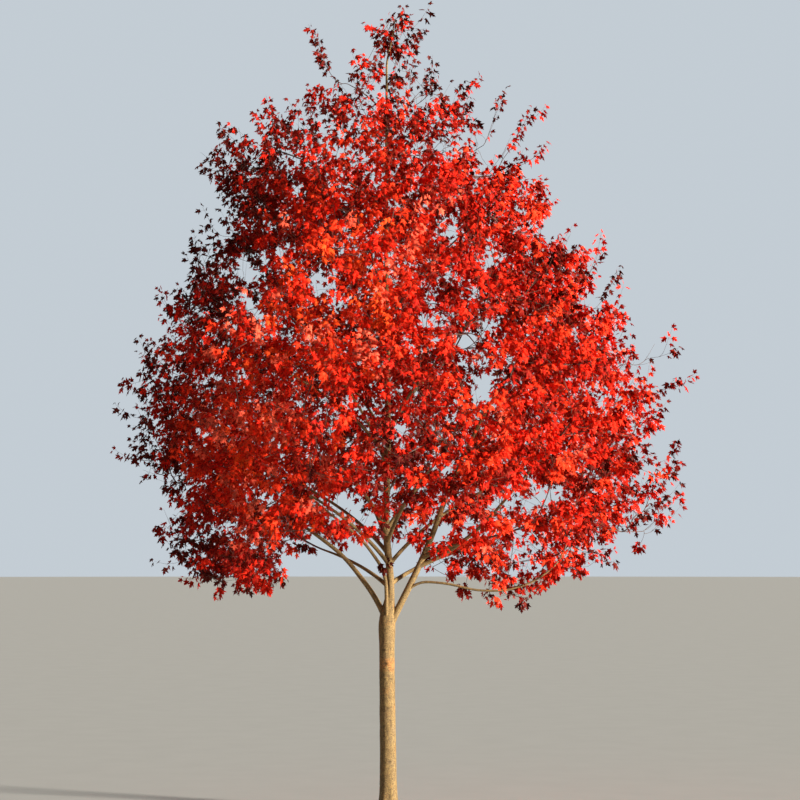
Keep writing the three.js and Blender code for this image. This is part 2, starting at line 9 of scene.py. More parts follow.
import bpy
import numpy as np
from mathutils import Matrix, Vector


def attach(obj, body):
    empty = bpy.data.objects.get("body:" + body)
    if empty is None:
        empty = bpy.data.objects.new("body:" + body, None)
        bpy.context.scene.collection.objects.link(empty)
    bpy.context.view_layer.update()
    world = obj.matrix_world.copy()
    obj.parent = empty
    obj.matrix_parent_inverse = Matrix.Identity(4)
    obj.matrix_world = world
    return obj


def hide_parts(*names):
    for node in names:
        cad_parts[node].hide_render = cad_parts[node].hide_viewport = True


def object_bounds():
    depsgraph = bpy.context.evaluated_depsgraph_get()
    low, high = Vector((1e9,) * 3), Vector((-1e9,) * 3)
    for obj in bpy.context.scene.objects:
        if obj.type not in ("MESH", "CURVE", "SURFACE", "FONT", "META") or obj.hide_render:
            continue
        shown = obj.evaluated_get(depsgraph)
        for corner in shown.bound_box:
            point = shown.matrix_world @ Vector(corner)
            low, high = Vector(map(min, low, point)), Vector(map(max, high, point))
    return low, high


bl_info = {
    "name": "Autumn maple",
    "version": (1, 0, 0),
    "blender": (4, 5, 0),
    "location": "View3D > Sidebar > Maple",
    "description": "Dresses a packed maple tree with bark, twigs and autumn leaves",
    "category": "Add Mesh",
}

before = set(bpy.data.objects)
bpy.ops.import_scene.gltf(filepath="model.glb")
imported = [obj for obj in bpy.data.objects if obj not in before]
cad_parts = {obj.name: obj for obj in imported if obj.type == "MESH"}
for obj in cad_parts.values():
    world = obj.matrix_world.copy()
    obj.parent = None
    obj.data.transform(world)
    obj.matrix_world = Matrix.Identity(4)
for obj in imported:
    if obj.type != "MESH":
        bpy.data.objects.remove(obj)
CAD_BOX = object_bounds()

# The photograph's frame at the tree: metres for each pixel, the pixel where the trunk meets the ground, the
# middle pixel, and the camera's distance and height
PIXEL = 0.012
TRUNK_COLUMN = 388.5
GROUND_ROW = 806
MIDDLE_PIXEL = 400
VIEW_MIDDLE = ((MIDDLE_PIXEL - TRUNK_COLUMN) * PIXEL, 0, (GROUND_ROW - MIDDLE_PIXEL) * PIXEL)
EYE_DISTANCE = 26.0
EYE_HEIGHT = 3.0

# Trunk and leader, as in the part's source
TRUNK_TOP = 9.38
BOLE_RADIUS = 0.101
BOLE_TAPER = 0.0055  # the radius lost with each metre of height
FLARE = 0.03
FLARE_HEIGHT = 0.11
FLARE_LOBES = 5
LOBE_DEPTH = 0.13  # of the flare's lobes, as a share of the radius
LOBE_HEIGHT = 0.22
FORK_HEIGHT = 2.17
FORK_SWELL = 0.012
FORK_SPREAD = 0.18
FORK_LENGTH = 0.38
FORK_LIFT = (0.05, 0.13)  # how much higher the bole reaches under the right limb and under the left one
LEADER_RADIUS = 0.047
LEADER_TIP_RADIUS = 0.009
LEADER_TAPER = 0.85
# Height, then how far the trunk's middle is off the origin along X and Y
LEADER_DRIFT = np.array([
    [0, 0, 0],
    [2.15, -0.018, 0],
    [2.6, 0.026, 0.016],
    [3.43, -0.03, 0.024],
    [4.4, -0.006, 0.008],
    [6.5, -0.026, -0.014],
    [8.9, -0.024, 0.004],
    [9.45, 0.06, 0.014],
])

# Crown outline: height, then how far the leaves reach to the left and to the right
CROWN = np.array([
    [2.4, 1.5, 1.8],
    [2.9, 2.35, 2.4],
    [3.5, 2.6, 3.2],
    [4.3, 2.9, 3.1],
    [5.0, 2.95, 3.3],
    [5.45, 2.95, 3.0],
    [6.2, 2.5, 2.7],
    [6.9, 2.0, 2.2],
    [7.5, 2.0, 1.8],
    [7.9, 2.25, 1.75],
    [8.3, 1.8, 1.2],
    [8.65, 1.05, 1.05],
    [9.05, 0.85, 0.48],
    [9.7, 0.15, 0.26],
])
CROWN_TOP = round(CAD_BOX[1][2], 3)
SKIRT_LOW = 2.48  # lowest leaves at the left and right
CENTRE_LOW = 3.25  # and over the fork
OPEN_RADIUS = (0.45, 1.0)  # over which the open middle ends
FRONT_LIFT = 0.75  # how much higher the lowest leaves are at the front and back
LUMP = 0.09  # swell of the outline at the front and back
LUMP_WAVES = ((3, 0.7), (5, -0.45))  # waves round the crown, and metres up for each radian of turn
# Single shoots that reach past the outline: X and height of each tip
SHOOTS = np.array([
    [0.57, 9.66], [0.12, 9.7], [-0.918, 9.192], [-2.202, 8.232], [-2.346, 7.092], [-2.862, 6.252],
    [-3.162, 5.412], [-3.246, 4.272], [1.35, 8.628], [1.878, 8.472], [2.022, 7.932], [2.598, 6.936],
    [2.982, 6.192], [3.642, 5.616], [3.762, 5.052], [3.498, 4.092],
])
SHOOT_PLACES = np.array([1.1, 0.92, 0.75, 0.59, 0.44, 0.3])  # of a single shoot's sprays, back from its tip
# Shorter shoots that break the outline, between the single ones: X and height of each tip
SHORT_SHOOTS = np.array([
    [-0.93, 9.38], [-0.22, 9.36], [0.04, 9.6], [0.42, 9.42], [0.58, 9.08], [0.42, 8.76], [1.1, 8.6],
    [-1, 8.52], [-1.3, 8.42], [-1.42, 8.44], [-1.94, 8.24], [-2.3, 7.92], [-2.07, 7.4], [-2.08, 6.72],
    [-2.42, 6.66], [-2.78, 5.66], [-2.95, 5.05], [-3, 4.62], [1.55, 7.9], [2.06, 7.34], [1.75, 7.2],
    [2.3, 6.6], [2.75, 6.4], [2.98, 5.75], [3.2, 4.7], [3.15, 4.4], [3.5, 3.84], [2.7, 2.95],
    [-0.05, 9.02], [0.14, 9.22], [-0.16, 8.8], [0.16, 8.85], [-0.34, 8.98], [3.45, 4.25], [3.45, 3.68],
    [3.5, 3.5], [3.25, 4], [2.55, 3.02], [2.35, 2.8], [-2.36, 6.35], [-3.15, 4.8], [-3.05, 4.25],
    [-3.05, 5.3], [-2.2, 2.66], [-1.95, 2.55], [-1.6, 2.5], [-2.45, 2.78], [-2.7, 3], [-2.25, 6.5],
    [-2.3, 6.3], [-2.2, 7.75], [-2.75, 3.45], [1.12, 2.45], [1.6, 2.56],
])
SHORT_PLACES = np.array([0.55, 0.38, 0.22])
STEEPNESS = 0.55  # how much more from below a single shoot comes than from its mass's middle
SHOOT_STEP = 0.04  # that each of its sprays is moved by
SHOOT_DEPTH = 0.6  # front to back, over which the tips of the single shoots lie
SHORT_DEPTH = 1.4  # and those of the shorter ones
# Single shoots at the front and back: how many, between which heights, their reach and half their fan
ROUND_SHOOTS = 12
ROUND_HEIGHTS = (3.9, 8.7)
ROUND_REACH = 1.12
ROUND_FAN = 35
# Openings through which the sky shows from the front: X and height of the middle, and the radius
SKY_GAPS = np.array([
    [-0.8, 6.23, 0.15], [-0.59, 6.01, 0.11], [1.17, 4.99, 0.16], [1.9, 3.7, 0.19], [-0.26, 4.75, 0.13],
    [-1.44, 3.65, 0.12], [1.21, 6.51, 0.12],
])
# Small openings that show beside them, in the same terms
SKY_FLECKS = np.array([
    [-1.59, 5.89, 0.08], [-2.24, 5.91, 0.07], [-1.65, 6, 0.07], [-2.02, 5.14, 0.07], [-0.68, 4.66, 0.07],
    [-1.5, 6.56, 0.07], [1.38, 5.38, 0.07], [2.31, 5.93, 0.07], [1.3, 3.62, 0.14], [1.68, 3.62, 0.13],
    [2.75, 5.08, 0.07], [2.56, 4.81, 0.13], [2.26, 4.04, 0.07], [1.28, 3.86, 0.07], [3.09, 4.04, 0.07],
    [-0.51, 3.66, 0.16], [-0.62, 3.48, 0.13], [-0.2, 3.42, 0.12], [-0.26, 3.12, 0.12], [-0.42, 3.1, 0.12],
    [0.32, 3.43, 0.09], [0.64, 3.28, 0.14], [0.9, 3.25, 0.1], [0.22, 3.16, 0.1], [1.53, 3.1, 0.09],
    [1.67, 2.88, 0.12], [-1.3, 6.61, 0.09], [-0.19, 6.46, 0.07], [0.74, 6.88, 0.1], [0.44, 5.83, 0.09],
    [0.64, 5.76, 0.08], [0.97, 5.56, 0.13], [1.2, 5.75, 0.09], [0.87, 5.33, 0.09], [1.07, 5.14, 0.09],
    [1.06, 4.88, 0.08], [0.16, 5.01, 0.08], [-0.28, 4.5, 0.07], [0.16, 4.55, 0.07], [0.8, 4.69, 0.08],
    [0.76, 6.33, 0.07],
])
# Bays in the outline, in the same terms
BAYS = np.array([
    [1.98, 6.97, 0.25], [-1.98, 6.85, 0.15], [-0.8, 2.95, 0.12], [1.33, 7.93, 0.26], [0.41, 8.5, 0.17],
    [-1.72, 6.42, 0.17], [2.85, 6.1, 0.2], [3.12, 5.43, 0.3], [-0.88, 2.72, 0.27], [-0.75, 8.75, 0.12],
    [-2.55, 5.45, 0.12], [-0.5, 8.65, 0.13], [1.25, 7.7, 0.2], [1.58, 7.16, 0.08], [0.72, 8.62, 0.14],
    [2.98, 5.3, 0.14], [-1.1, 8.2, 0.12], [-1.85, 8.05, 0.12], [2.2, 6.82, 0.17], [2.45, 6.05, 0.17],
    [-2.75, 5.72, 0.17], [-1.12, 2.9, 0.2], [3.12, 3.36, 0.15], [1.4, 8.17, 0.17], [-2.85, 3.9, 0.14],
])
GAP_STRETCH = (1.15, 1.1)  # how much wider, and how much less high, than round an opening is
# Swings of an opening's edge: by how much, waves round it, and the turn from one opening to the next
GAP_WAVES = ((0.3, 3, 2.3), (0.25, 5, 1.1))
# Places where the sprays stand close: the middle and the size
CLOSE_PLACES = np.array([
    [0.1, 0.05, 8.2, 0.3], [0.1, -0.1, 7.85, 0.35], [-2.6, 0.0, 4.7, 0.5], [-2.2, -0.2, 4.4, 0.4],
    [-2.8, 0.1, 5.1, 0.3], [2.1, -0.1, 3.0, 0.4], [1.85, 0.2, 2.78, 0.3], [2.85, 0.0, 3.6, 0.4],
    [2.85, 0.1, 4.1, 0.4], [0.72, 0.85, 3.0, 0.35], [0.5, 1.1, 3.1, 0.3], [1.6, 0.3, 2.75, 0.25],
    [-1.1, 0.1, 3.8, 0.25], [-1.1, 0.3, 3.25, 0.25], [-1.45, 0.0, 3.35, 0.35], [-1.6, 0.1, 3.95, 0.35],
    [-2.35, 0.1, 6.4, 0.3], [-2.8, 0.0, 4.35, 0.35], [-2.6, 0.0, 3.45, 0.35], [-1.75, 0.0, 2.85, 0.35],
    [2.2, 0.0, 3.35, 0.35], [-0.35, -0.2, 6.95, 0.35], [-0.9, 0.1, 4.0, 0.3], [-2.1, -0.8, 4.45, 0.4],
    [-2.3, 0.6, 4.4, 0.35], [-1.5, -0.9, 3.95, 0.3], [-1.2, -0.3, 3.4, 0.3], [-1.0, -0.6, 3.45, 0.3],
    [-1.35, 0.2, 3.5, 0.3], [3.0, 0.0, 5.12, 0.25], [-0.5, -0.3, 6.5, 0.3], [1.6, -0.3, 3.35, 0.25],
    [0.0, -0.35, 8.1, 0.3], [0.0, -0.35, 7.6, 0.3], [0.05, -0.3, 8.5, 0.25], [-1.7, 0.0, 6.65, 0.25],
    [-2.3, 0.0, 6.6, 0.25], [-0.8, 0.0, 8.3, 0.25], [-1.1, 0.0, 7.7, 0.3], [1.6, 0.0, 7.4, 0.3],
    [1.7, 0.0, 7.0, 0.2], [0.7, 0.0, 8.2, 0.25], [-2.9, 0.0, 5.0, 0.25], [-2.95, 0.0, 4.4, 0.25],
    [0.7, -0.2, 6.05, 0.2], [3.1, 0.0, 3.5, 0.25], [-2.5, 0.1, 3.1, 0.3], [-2.25, 0.0, 2.85, 0.25],
    [0.1, -0.3, 4.4, 0.2],
])
# Places, as seen from the front, where leaves are fewer: middle, size and the share of them that is missing
SPARSE_PLACES = np.array([
    [-2.3, 5.5, 0.6, 0.35], [-2.2, 4.8, 0.5, 0.35], [-1.3, 5.1, 0.35, 0.25], [-2.6, 3.8, 0.3, 0.3],
    [0.0, 3.65, 0.45, 0.35], [1.8, 2.95, 0.35, 0.4], [1.35, 8.35, 0.25, 0.5], [1.0, 7.75, 0.2, 0.35],
    [2.05, 6.9, 0.3, 0.4], [2.9, 5.25, 0.25, 0.5], [1.3, 5.3, 0.2, 0.3], [0.2, 9.25, 0.25, 0.45],
    [-0.2, 8.75, 0.25, 0.35], [-0.55, 8.05, 0.2, 0.35], [-1.9, 7.0, 0.25, 0.35], [2.85, 4.15, 0.25, 0.3],
    [-0.9, 4.7, 0.3, 0.3], [0.5, 4.6, 0.35, 0.25], [-1.6, 6.0, 0.3, 0.35], [2.8, 3.35, 0.25, 0.4],
    [1.45, 2.75, 0.3, 0.5], [-1.1, 8.3, 0.2, 0.4],
])
# Single sprays at the crown's edge and below it, by their middle
HANGING_SPRAYS = np.array([
    [0.02, -0.25, 3.0], [0.55, 0.45, 2.88], [0.68, 0.6, 2.78], [0.8, 0.5, 2.84], [0.92, 0.7, 2.76],
    [1.02, 0.5, 2.9], [0.42, 0.5, 3.12], [-2.0, -0.2, 2.7], [-2.25, 0.0, 2.78], [-1.4, 0.0, 2.74],
    [-1.75, 0.2, 2.68], [2.5, 0.0, 3.0], [2.4, 0.2, 2.88], [-2.5, 0.1, 3.05], [-2.6, -0.1, 3.25],
    [-2.45, 0.2, 3.35], [-2.35, 0.0, 2.95], [-2.2, 0.1, 2.9], [-2.6, 0.2, 3.1], [-2.1, -0.1, 3.0],
    [-2.4, -0.2, 3.2], [2.2, 0.0, 2.9], [2.05, 0.2, 2.82], [-2.3, 0.0, 6.6], [-2.2, 0.3, 6.68],
    [-2.25, -0.3, 6.55], [-2.1, 0.0, 7.65], [-2.0, 0.2, 7.75], [-2.9, 0.0, 5.2], [-2.95, 0.2, 5.05],
    [-2.9, -0.2, 4.6], [-3.0, 0.0, 4.25], [-2.85, 0.1, 4.95], [3.15, 0.0, 3.5], [3.3, 0.1, 3.95],
    [3.35, -0.1, 3.6], [3.4, 0.0, 4.1], [-2.3, 0.2, 6.4], [-2.25, -0.1, 6.35], [0.7, 0.0, 7.85],
    [0.6, 0.2, 7.9], [0.95, 0.0, 8.2], [1.0, 0.2, 8.25], [-1.1, 0.0, 7.55], [-1.0, 0.2, 7.6],
    [-1.15, -0.2, 7.5], [-2.0, 0.0, 7.55], [-2.9, 0.1, 4.8], [-2.8, -0.1, 4.85], [-2.95, -0.1, 4.9],
    [-2.9, 0.1, 4.2], [-2.85, -0.1, 4.0], [-2.95, 0.0, 4.35], [-3.0, 0.1, 5.1], [3.1, 0.0, 4.55],
    [3.15, 0.2, 4.6], [3.05, -0.2, 4.5], [3.1, 0.1, 3.65], [3.05, -0.1, 3.75],
])
# The low way in from the right front, where the sun falls on the fork: its heading, how steeply it climbs,
# its height over the fork and half its width
LIGHT_HEADING = math.radians(-25)
LIGHT_CLIMB = 0.18
LIGHT_TOP = 3.02
LIGHT_WIDTH = 0.6
LIGHT_ARCH = 1.2  # how much lower the way's roof is at half its width
LIGHT_START = 0.1  # how far from the leader it starts

# The limbs that show below the leaves: name, what each grows from, its place there as a height on the trunk
# or a share of the limb, headings and rises in degrees at even steps along it, length and end radii
LIMBS = (
    ("bough_right_steep", "trunk", 1.976,
     (0, 3, 0, -4), (81, 63, 64, 67, 71, 66, 66, 62, 58), 3.3, (0.046, 0.017)),
    ("bough_right", "bough_right_steep", 0.3,
     (-10, -20, -24), (22, 36, 48, 46), 1.85, (0.027, 0.013)),
    ("bough_right_low", "bough_right_steep", 0.2,
     (-14, -4, 4), (41, -4, -14, -1, 17, 36, 63), 2.08, (0.016, 0.01)),
    ("bough_left_low", "trunk", 2.22,
     (176, 172, 180), (66, 52, 36, 32), 1.9, (0.036, 0.014)),
    ("bough_front_left", "trunk", 1.9,
     (268, 262, 214, 208, 206), (80, 86, 50, 34, 38), 2.3, (0.027, 0.012)),
)
LIMB_STEPS = 40
ARCH = (0.36, 0.62)  # a bough's middle control point, as shares of its way: level and up
BOUGH_SHARE = 0.62  # of the way to its mass's middle, where a bough ends

# Foliage tiers: name, height, reach, azimuths, first height on the leader, step, end radii or stem radius
TIERS = (
    ("skirt", 3.35, 0.68, (0, 42, 138, 180, 222, 318), 2.49, 0.06, (0.027, 0.012)),
    ("low", 4.5, 0.74, (20, 65, 110, 155, 200, 245, 290, 335), 2.9, 0.13, (0.025, 0.012)),
    ("heart", 4.35, 0.29, (60, 180, 300), 3.72, 0.11, 0.013),
    ("middle", 5.8, 0.7, (0, 60, 120, 180, 240, 300), 4.05, 0.13, (0.022, 0.011)),
    ("core", 5.65, 0.27, (30, 150, 270), 4.95, 0.09, 0.012),
    ("high", 6.95, 0.63, (36, 108, 180, 252, 324), 5.8, 0.1, 0.014),
    ("upper", 7.9, 0.6, (0, 90, 180, 270), 6.95, 0.11, 0.012),
    ("crest", 8.7, 0.45, (0, 180), 7.95, 0.12, 0.009),
)
STAGGER = (0, 3, 2, 1)  # steps up the leader at which a tier's boughs start, in turn
TOP_MASS = (0.09, 0.01, 9.54)
FLOOR_CLEARANCE = 0.65  # of a mass's middle over the crown's lowest leaves
STEM_BEND = 0.45
# Masses that a limb of another name carries, and the one whose bough forks off a limb, at which share of it
CARRIED = {
    "foliage_skirt_right": "bough_right_low",
    "foliage_skirt_left": "bough_left_low",
    "foliage_skirt_front_left": "bough_front_left",
    "foliage_low_front_right": "bough_right",
    "foliage_middle_right": "bough_right_steep",
}
FORKED = {"foliage_skirt_front_right": ("bough_right_steep", 0.335)}
SIDES = ("right", "back_right", "back", "back_left", "left", "front_left", "front", "front_right")

# Twigs
MASS_REACH = 1.5  # half the box that a mass's targets are spread over
TARGET_STEP = 0.17  # that each target is moved by, in a seeded direction
TWIG_REACH = 0.93  # share of the crown's radius that the targets reach
HEADROOM = (0.2, 0.4)  # that the targets keep from the outline above them, low in the crown and in its top
HEADROOM_HEIGHTS = (7.6, 8.4)
GAP_GROWTH = 0.03  # how much wider the openings are for targets than for leaves
SHELL = 1.7  # depth under the crown's outline over which the sprays thin out
SHELL_SHARES = (1.15, 0.25)  # of sprays at the outline, where all above 1 is the same as 1, and deep inside
CLOSE_SHARE = 0.7  # of sprays, added in the places where they stand close
SPARSE_SPRAYS = 0.6  # of the missing leaves' share that is missing as whole sprays
# Share of the sprays that stand at a height
THINNING = np.array([
    [2.5, 1.0], [3.3, 0.9], [4.2, 1.0], [6.9, 1.0], [7.5, 0.85], [7.9, 0.52], [8.3, 0.3], [8.7, 0.12],
    [9.1, 0.03],
])
# Sprays added round the top of the leader: their share, the radius and the heights over which they set in
TOP_SHARE = 0.35
TOP_RADIUS = 0.4
TOP_HEIGHTS = (7.8, 8.3)
LAYER_RIPPLE = (0.9, 0.5, 5)  # of the layers that the sprays lie in: length, stretch upwards and its number
LAYER_MIDDLE = 0.85
LAYER_SWING = 0.7
LAYER_LIMITS = (0.3, 1.3)
WAY_WEIGHT = 0.35
TURN_WEIGHT = 0.3
TWIG_ARCH = 0.35
TWIG_LIFT = 0.08
TWIG_GROWTH = 0.4  # a twig's radius grows with this power of the sprays it carries
STRONG_LOAD = 3  # sprays from which a twig counts as strong
TWIG_EASE = (0.35, 0.75)  # along a twig, where its thickness eases to that of its second half
STEM_TUBE, TWIG_TUBE, SHOOT_TUBE = (9, 8), (7, 5), (4, 3)  # rings and sides
UPRIGHT = 0.05  # the sine of a tube's lean under which its rings start from +Y
HALVES = np.array([0.5, 1.0])

# Shoots: how their first direction is weighed beside the twig's own, as outwards, upwards and seeded
LOOSE_WAY = (0.3, 0.3, 0.55)
STRAIGHT_WAY = (0.2, 0.15)  # upwards and seeded, on a single shoot
TOP_LIFT = 0.9  # upwards, added high in the crown
TOP_LIFT_HEIGHTS = (3.5, 9)
SHOOT_BEND = (0.1, 0.3)  # outwards and upwards
SHOOT_LENGTHS = (0.6, 1.0)  # least share of the length, and what chance adds
SINGLE_LENGTH = 0.8
SHOOT_OVERHANG = 1.03  # share of the crown's radius past which a shoot is cut to half
SHOOT_TAPER = np.array([1, 0.8, 0.5])
SHOOT_THICKNESS = 1.2

# Leaves, in pairs along a shoot
LEAF_PLACES = np.array([0.08, 0.25, 0.41, 0.57, 0.72, 0.86, 1.0])
PAIR_SIZES = np.array([0.8, 0.95, 1.05, 1.05, 1.0, 0.88, 0.72])
LEAF_SIZES = (0.75, 0.5)  # least share of the size, and what chance adds
STALK_LENGTHS = (0.6, 0.8)
STALK_LEAN = (0.55, 1.3)  # along the shoot, and on the last pair
STALK_RISE = 0.15
STALK_SAG = 0.1
STALK_RADIUS = 0.0014
AXIS_WAY = (0.75, 0.25, 0.4)  # a blade's axis, weighed as along its stalk, outwards and seeded
FACE_WAY = (0.55, 0.5, 0.95)  # its face, weighed as outwards, upwards and seeded
# Half a leaf's outline from its foot to its tip: along and across, as shares of its length
LEAF_HALF = np.array([[-0.03, 0.3], [0.15, 0.24], [0.53, 0.56], [0.45, 0.16], [0.71, 0.22], [0.76, 0.09]])
LOBE_TIP = 2  # the row of the side lobe's tip
LEAF_MIDDLE = 0.3
LEAF_HEART = 0.02  # how far the middle stands up
LEAF_FOLDS = (0.15, 0.45)  # least fold along the midrib, and what chance adds
LEAF_CURLS = (0.05, 0.4)
# Factors of a leaf's tint: over most of the blade, in its blotches, which are dark blotches and painted
# specks of deep shade at once, and in its brighter areas, where a little is added to it
LEAF_BODY, LEAF_BLOTCH_SHADE, LEAF_BRIGHT = 1.16, 0.28, (1.3, 0.003)
LEAF_LOSS = 0.08  # share of the leaves that have already fallen
SINGLE_LOSS = 0.38  # on a single shoot
TOP_LOSS = 0.55
TOP_LOSS_HEIGHTS = (8.3, 8.9)
GAP_CLOSING = (0.15, 0.65, 1.5)  # an opening's radius lost to leaves: least, what chance adds, and its power
WAY_CLOSING = 0.5  # by how much leaves hang into the way of the light
LEADER_CLEARANCE = 0.02
TOP_OVERHANG = 0.12

# Bark: ripples as length, stretch lengthwise and number, then their shares of the cracks' depth
CRACK_RIPPLE = (0.03, 6, 1)
FINE_RIPPLE = (0.012, 3, 2)
LUMP_RIPPLE = (0.16, 1.6, 3)
CRACK_EDGE = 0.13  # how near to its zero line the ripple makes a crack
FINE_RELIEF = 0.25
LUMP_RELIEF = 0.9
STAIN_HEIGHT = 1.72  # of a rust-coloured band on the trunk
STAIN_SPREAD = 0.09
# Scars on the trunk: height, angle from +X in degrees, and size
SCARS = (
    (1.89, 245, 0.019), (1.73, 254, 0.03), (1.55, 304, 0.02), (1.55, 250, 0.016), (2.46, 276, 0.015),
    (2.71, 276, 0.013), (1.21, 268, 0.02), (0.58, 280, 0.022), (0.92, 32, 0.016), (1.43, 118, 0.02),
    (1.02, 150, 0.014), (0.4, 205, 0.015), (1.82, 60, 0.014),
)
SCAR_WIDTH = 1.5  # of its height
# In shares of its size: height and width of its ring, its middle's depth as a share of the ring's height and
# its width, and how far its dark mask reaches
SCAR_RING, SCAR_RING_WIDTH = 0.16, 0.4
SCAR_SINK, SCAR_SINK_WIDTH = 0.8, 0.7
SCAR_MASK = 0.75
RELIEF_LIMIT = 1.3  # of the relief, as a share of that on the bole
TRUNK_RINGS = (220, 200)  # below and above the top of the fork
FORK_TOP = 2.7
TRUNK_SIDES = 60
FOOT_EASE = 0.02  # height over which the relief sets in
BOUGH_RINGS, BOUGH_SIDES = 90, 16
COLLAR = 0.3  # a bough's swell at its foot, as a share of its radius
COLLAR_LENGTH = 2.2  # in radii
BARK_STEP = 3.1  # between the places that two boughs' bark is taken from
# How dark the cracks of the trunk, its scars and the cracks of the boughs are
TRUNK_CRACKS, SCAR_SHADE, BOUGH_CRACKS = 0.6, 0.85, 0.55

# Seeded draws: a number for each use of chance, and a direction takes the next one too
SEED = 7
SHOOT_SIDE, ROUND_SIDE, SHORT_SIDE, SPRAY_WAY, SPRAY_LENGTH, PAIR_TURN = 1, 2, 3, 11, 13, 14
LEAF_SIZE, STALK_LENGTH, LEAF_AXIS, LEAF_FACE, TINT_DRAW, LEAF_FOLD, LEAF_CURL = 15, 16, 17, 19, 23, 25, 26
GAP_EDGE, LEAF_FALL, WAY_EDGE, WAVE_WAY, WAVE_PHASE, WAVE_LENGTH, SHOOT_STRAY, TARGET_STRAY = (
    27, 28, 29, 31, 33, 34, 41, 43)
# How far apart the counts for two masses' shoots, for two masses' targets and for two ripples are
SHOOT_COUNTS, TARGET_COUNTS, RIPPLE_COUNTS = 50, 7000, 100
RIPPLE_WAVES = 24
RIPPLE_LENGTHS = (0.6, 0.8)  # least share of a wave's length, and what chance adds
RIPPLE_GAIN = 3.4
UP = np.array([0.0, 0.0, 1.0])
GOLDEN_FOUR = 1.1673039782614187  # the root of x^5 = x + 1


def length_property(name, words, default, low, high):
    """A size that a user can change."""
    return bpy.props.FloatProperty(
        name=name, description=words, default=default, min=low, max=high, unit="LENGTH")


def colour_property(name, words, default):
    """A colour that a user can change."""
    return bpy.props.FloatVectorProperty(
        name=name, description=words, default=default, min=0, max=1, size=3, subtype="COLOR")


def light_property(name, words, default):
    """The strength of a light that a user can change."""
    return bpy.props.FloatProperty(name=name, description=words, default=default, min=0)


class MapleSizes(bpy.types.PropertyGroup):
    """Sizes of the twigs and the leaves."""

    tries: bpy.props.IntProperty(
        name="Targets tried", description="Points tried in each mass for the end of a twig",
        default=2400, min=10, max=6000)
    shoot_length: length_property("Shoot length", "Length of the leafy shoot at a twig's end", 0.27, 0.05, 1)
    leaf_length: length_property("Leaf length", "Length of a leaf's blade", 0.085, 0.03, 0.4)
    petiole_length: length_property(
        "Petiole length", "Length of the stalk that a leaf hangs from", 0.04, 0, 0.2)
    droop: bpy.props.FloatProperty(
        name="Droop", description="How strongly the leaves hang, beside how far they point outwards",
        default=0.85, min=0, max=3, subtype="FACTOR")
    tip_radius: length_property(
        "Shoot radius", "Radius of a shoot that carries only its own leaves", 0.0019, 0.0005, 0.01)
    fissure_depth: length_property(
        "Fissure depth", "Depth of the fine cracks in the bark at the foot of the trunk", 0.0016, 0, 0.01)


class MapleColours(bpy.types.PropertyGroup):
    """Colours of the leaves and the bark."""

    maroon: colour_property("Maroon", "Darkest sprays", (0.085, 0.003, 0.005))
    wine: colour_property("Wine", "Dark red sprays", (0.2, 0.003, 0.003))
    crimson: colour_property("Crimson", "Deep red sprays", (0.36, 0.004, 0.003))
    ruby: colour_property("Ruby", "Full red sprays", (0.56, 0.008, 0.003))
    scarlet: colour_property("Scarlet", "Bright red sprays", (0.73, 0.014, 0.005))
    vermilion: colour_property("Vermilion", "Orange-red sprays", (0.87, 0.034, 0.009))
    # Rose sprays are a painted sheen: their pale pink stands for light glancing off lit leaves
    rose: colour_property("Rose", "Pale red sprays", (0.85, 0.1, 0.055))
    amber: colour_property("Amber", "The few orange sprays", (0.84, 0.06, 0.009))
    veins: colour_property("Veins", "What the veins of all leaves are paled with", (0.75, 0.3, 0.12))
    bark: colour_property("Bark", "Smooth young bark", (0.35, 0.23, 0.084))
    bark_shade: colour_property("Bark shade", "Darker patches and cracks of the bark", (0.1, 0.06, 0.032))
    bark_grey: colour_property("Bark grey", "Greyer patches of the bark", (0.25, 0.18, 0.1))
    bark_rust: colour_property("Bark rust", "Warm stains of the bark", (0.46, 0.2, 0.055))
    twig: colour_property("Twig", "Young twigs", (0.13, 0.06, 0.042))
    pores: colour_property("Pores", "Small pale pores of the twigs", (0.3, 0.2, 0.14))


class MapleStage(bpy.types.PropertyGroup):
    """Floor, light and camera."""

    floor: colour_property("Floor", "Pale floor", (0.6, 0.6, 0.59))
    key: light_property("Key light", "Strength of the far lamp at the right", 10.9)
    key_tint: colour_property("Key tint", "Warm tint of the far lamp", (1, 0.93, 0.8))
    softness: bpy.props.FloatProperty(
        name="Softness", description="Width of the far lamp as the tree sees it",
        default=math.radians(9), min=0, max=math.pi, subtype="ANGLE")
    wall: light_property("Wall light", "Strength of the pale wall in front and beside", 0.29)
    far_wall: light_property("Far wall light", "Strength of the pale wall behind the tree", 0.66)
    ceiling: light_property("Ceiling light", "Strength of the light from above the wall", 0.06)
    room_tint: colour_property("Room tint", "Cool tint of the wall and the ceiling", (0.83, 0.92, 1))
    frame_height: length_property(
        "Frame height", "Height of the view at the tree", 2 * MIDDLE_PIXEL * PIXEL, 1, 50)


def tree():
    """The sizes in use."""
    return bpy.context.scene.maple_sizes


TINTS = ("maroon", "wine", "crimson", "ruby", "scarlet", "vermilion", "rose", "amber")
TINT_SHARES = np.array([0.11, 0.15, 0.16, 0.17, 0.2, 0.155, 0.04, 0.015])
# A spray's tint goes by its place in the order of a sum: slow waves, as factors of X, Y and Z and a start,
# chance, its place from left to right, as painted shade that darkens the left side, and whether it is on a
# single shoot, as painted shade that darkens such shoots
TINT_WAVES = np.array([[1.9, 0, 1.1, 0.7], [0, 2.3, -1.3, 2.1], [-1.5, 0, 1.7, 4.0]])
WAVE_SHARE, CHANCE_SHARE, PAINTED_SIDE_SHADE, PAINTED_SINGLE_SHADE = 0.12, 1.6, 0.07, -0.35
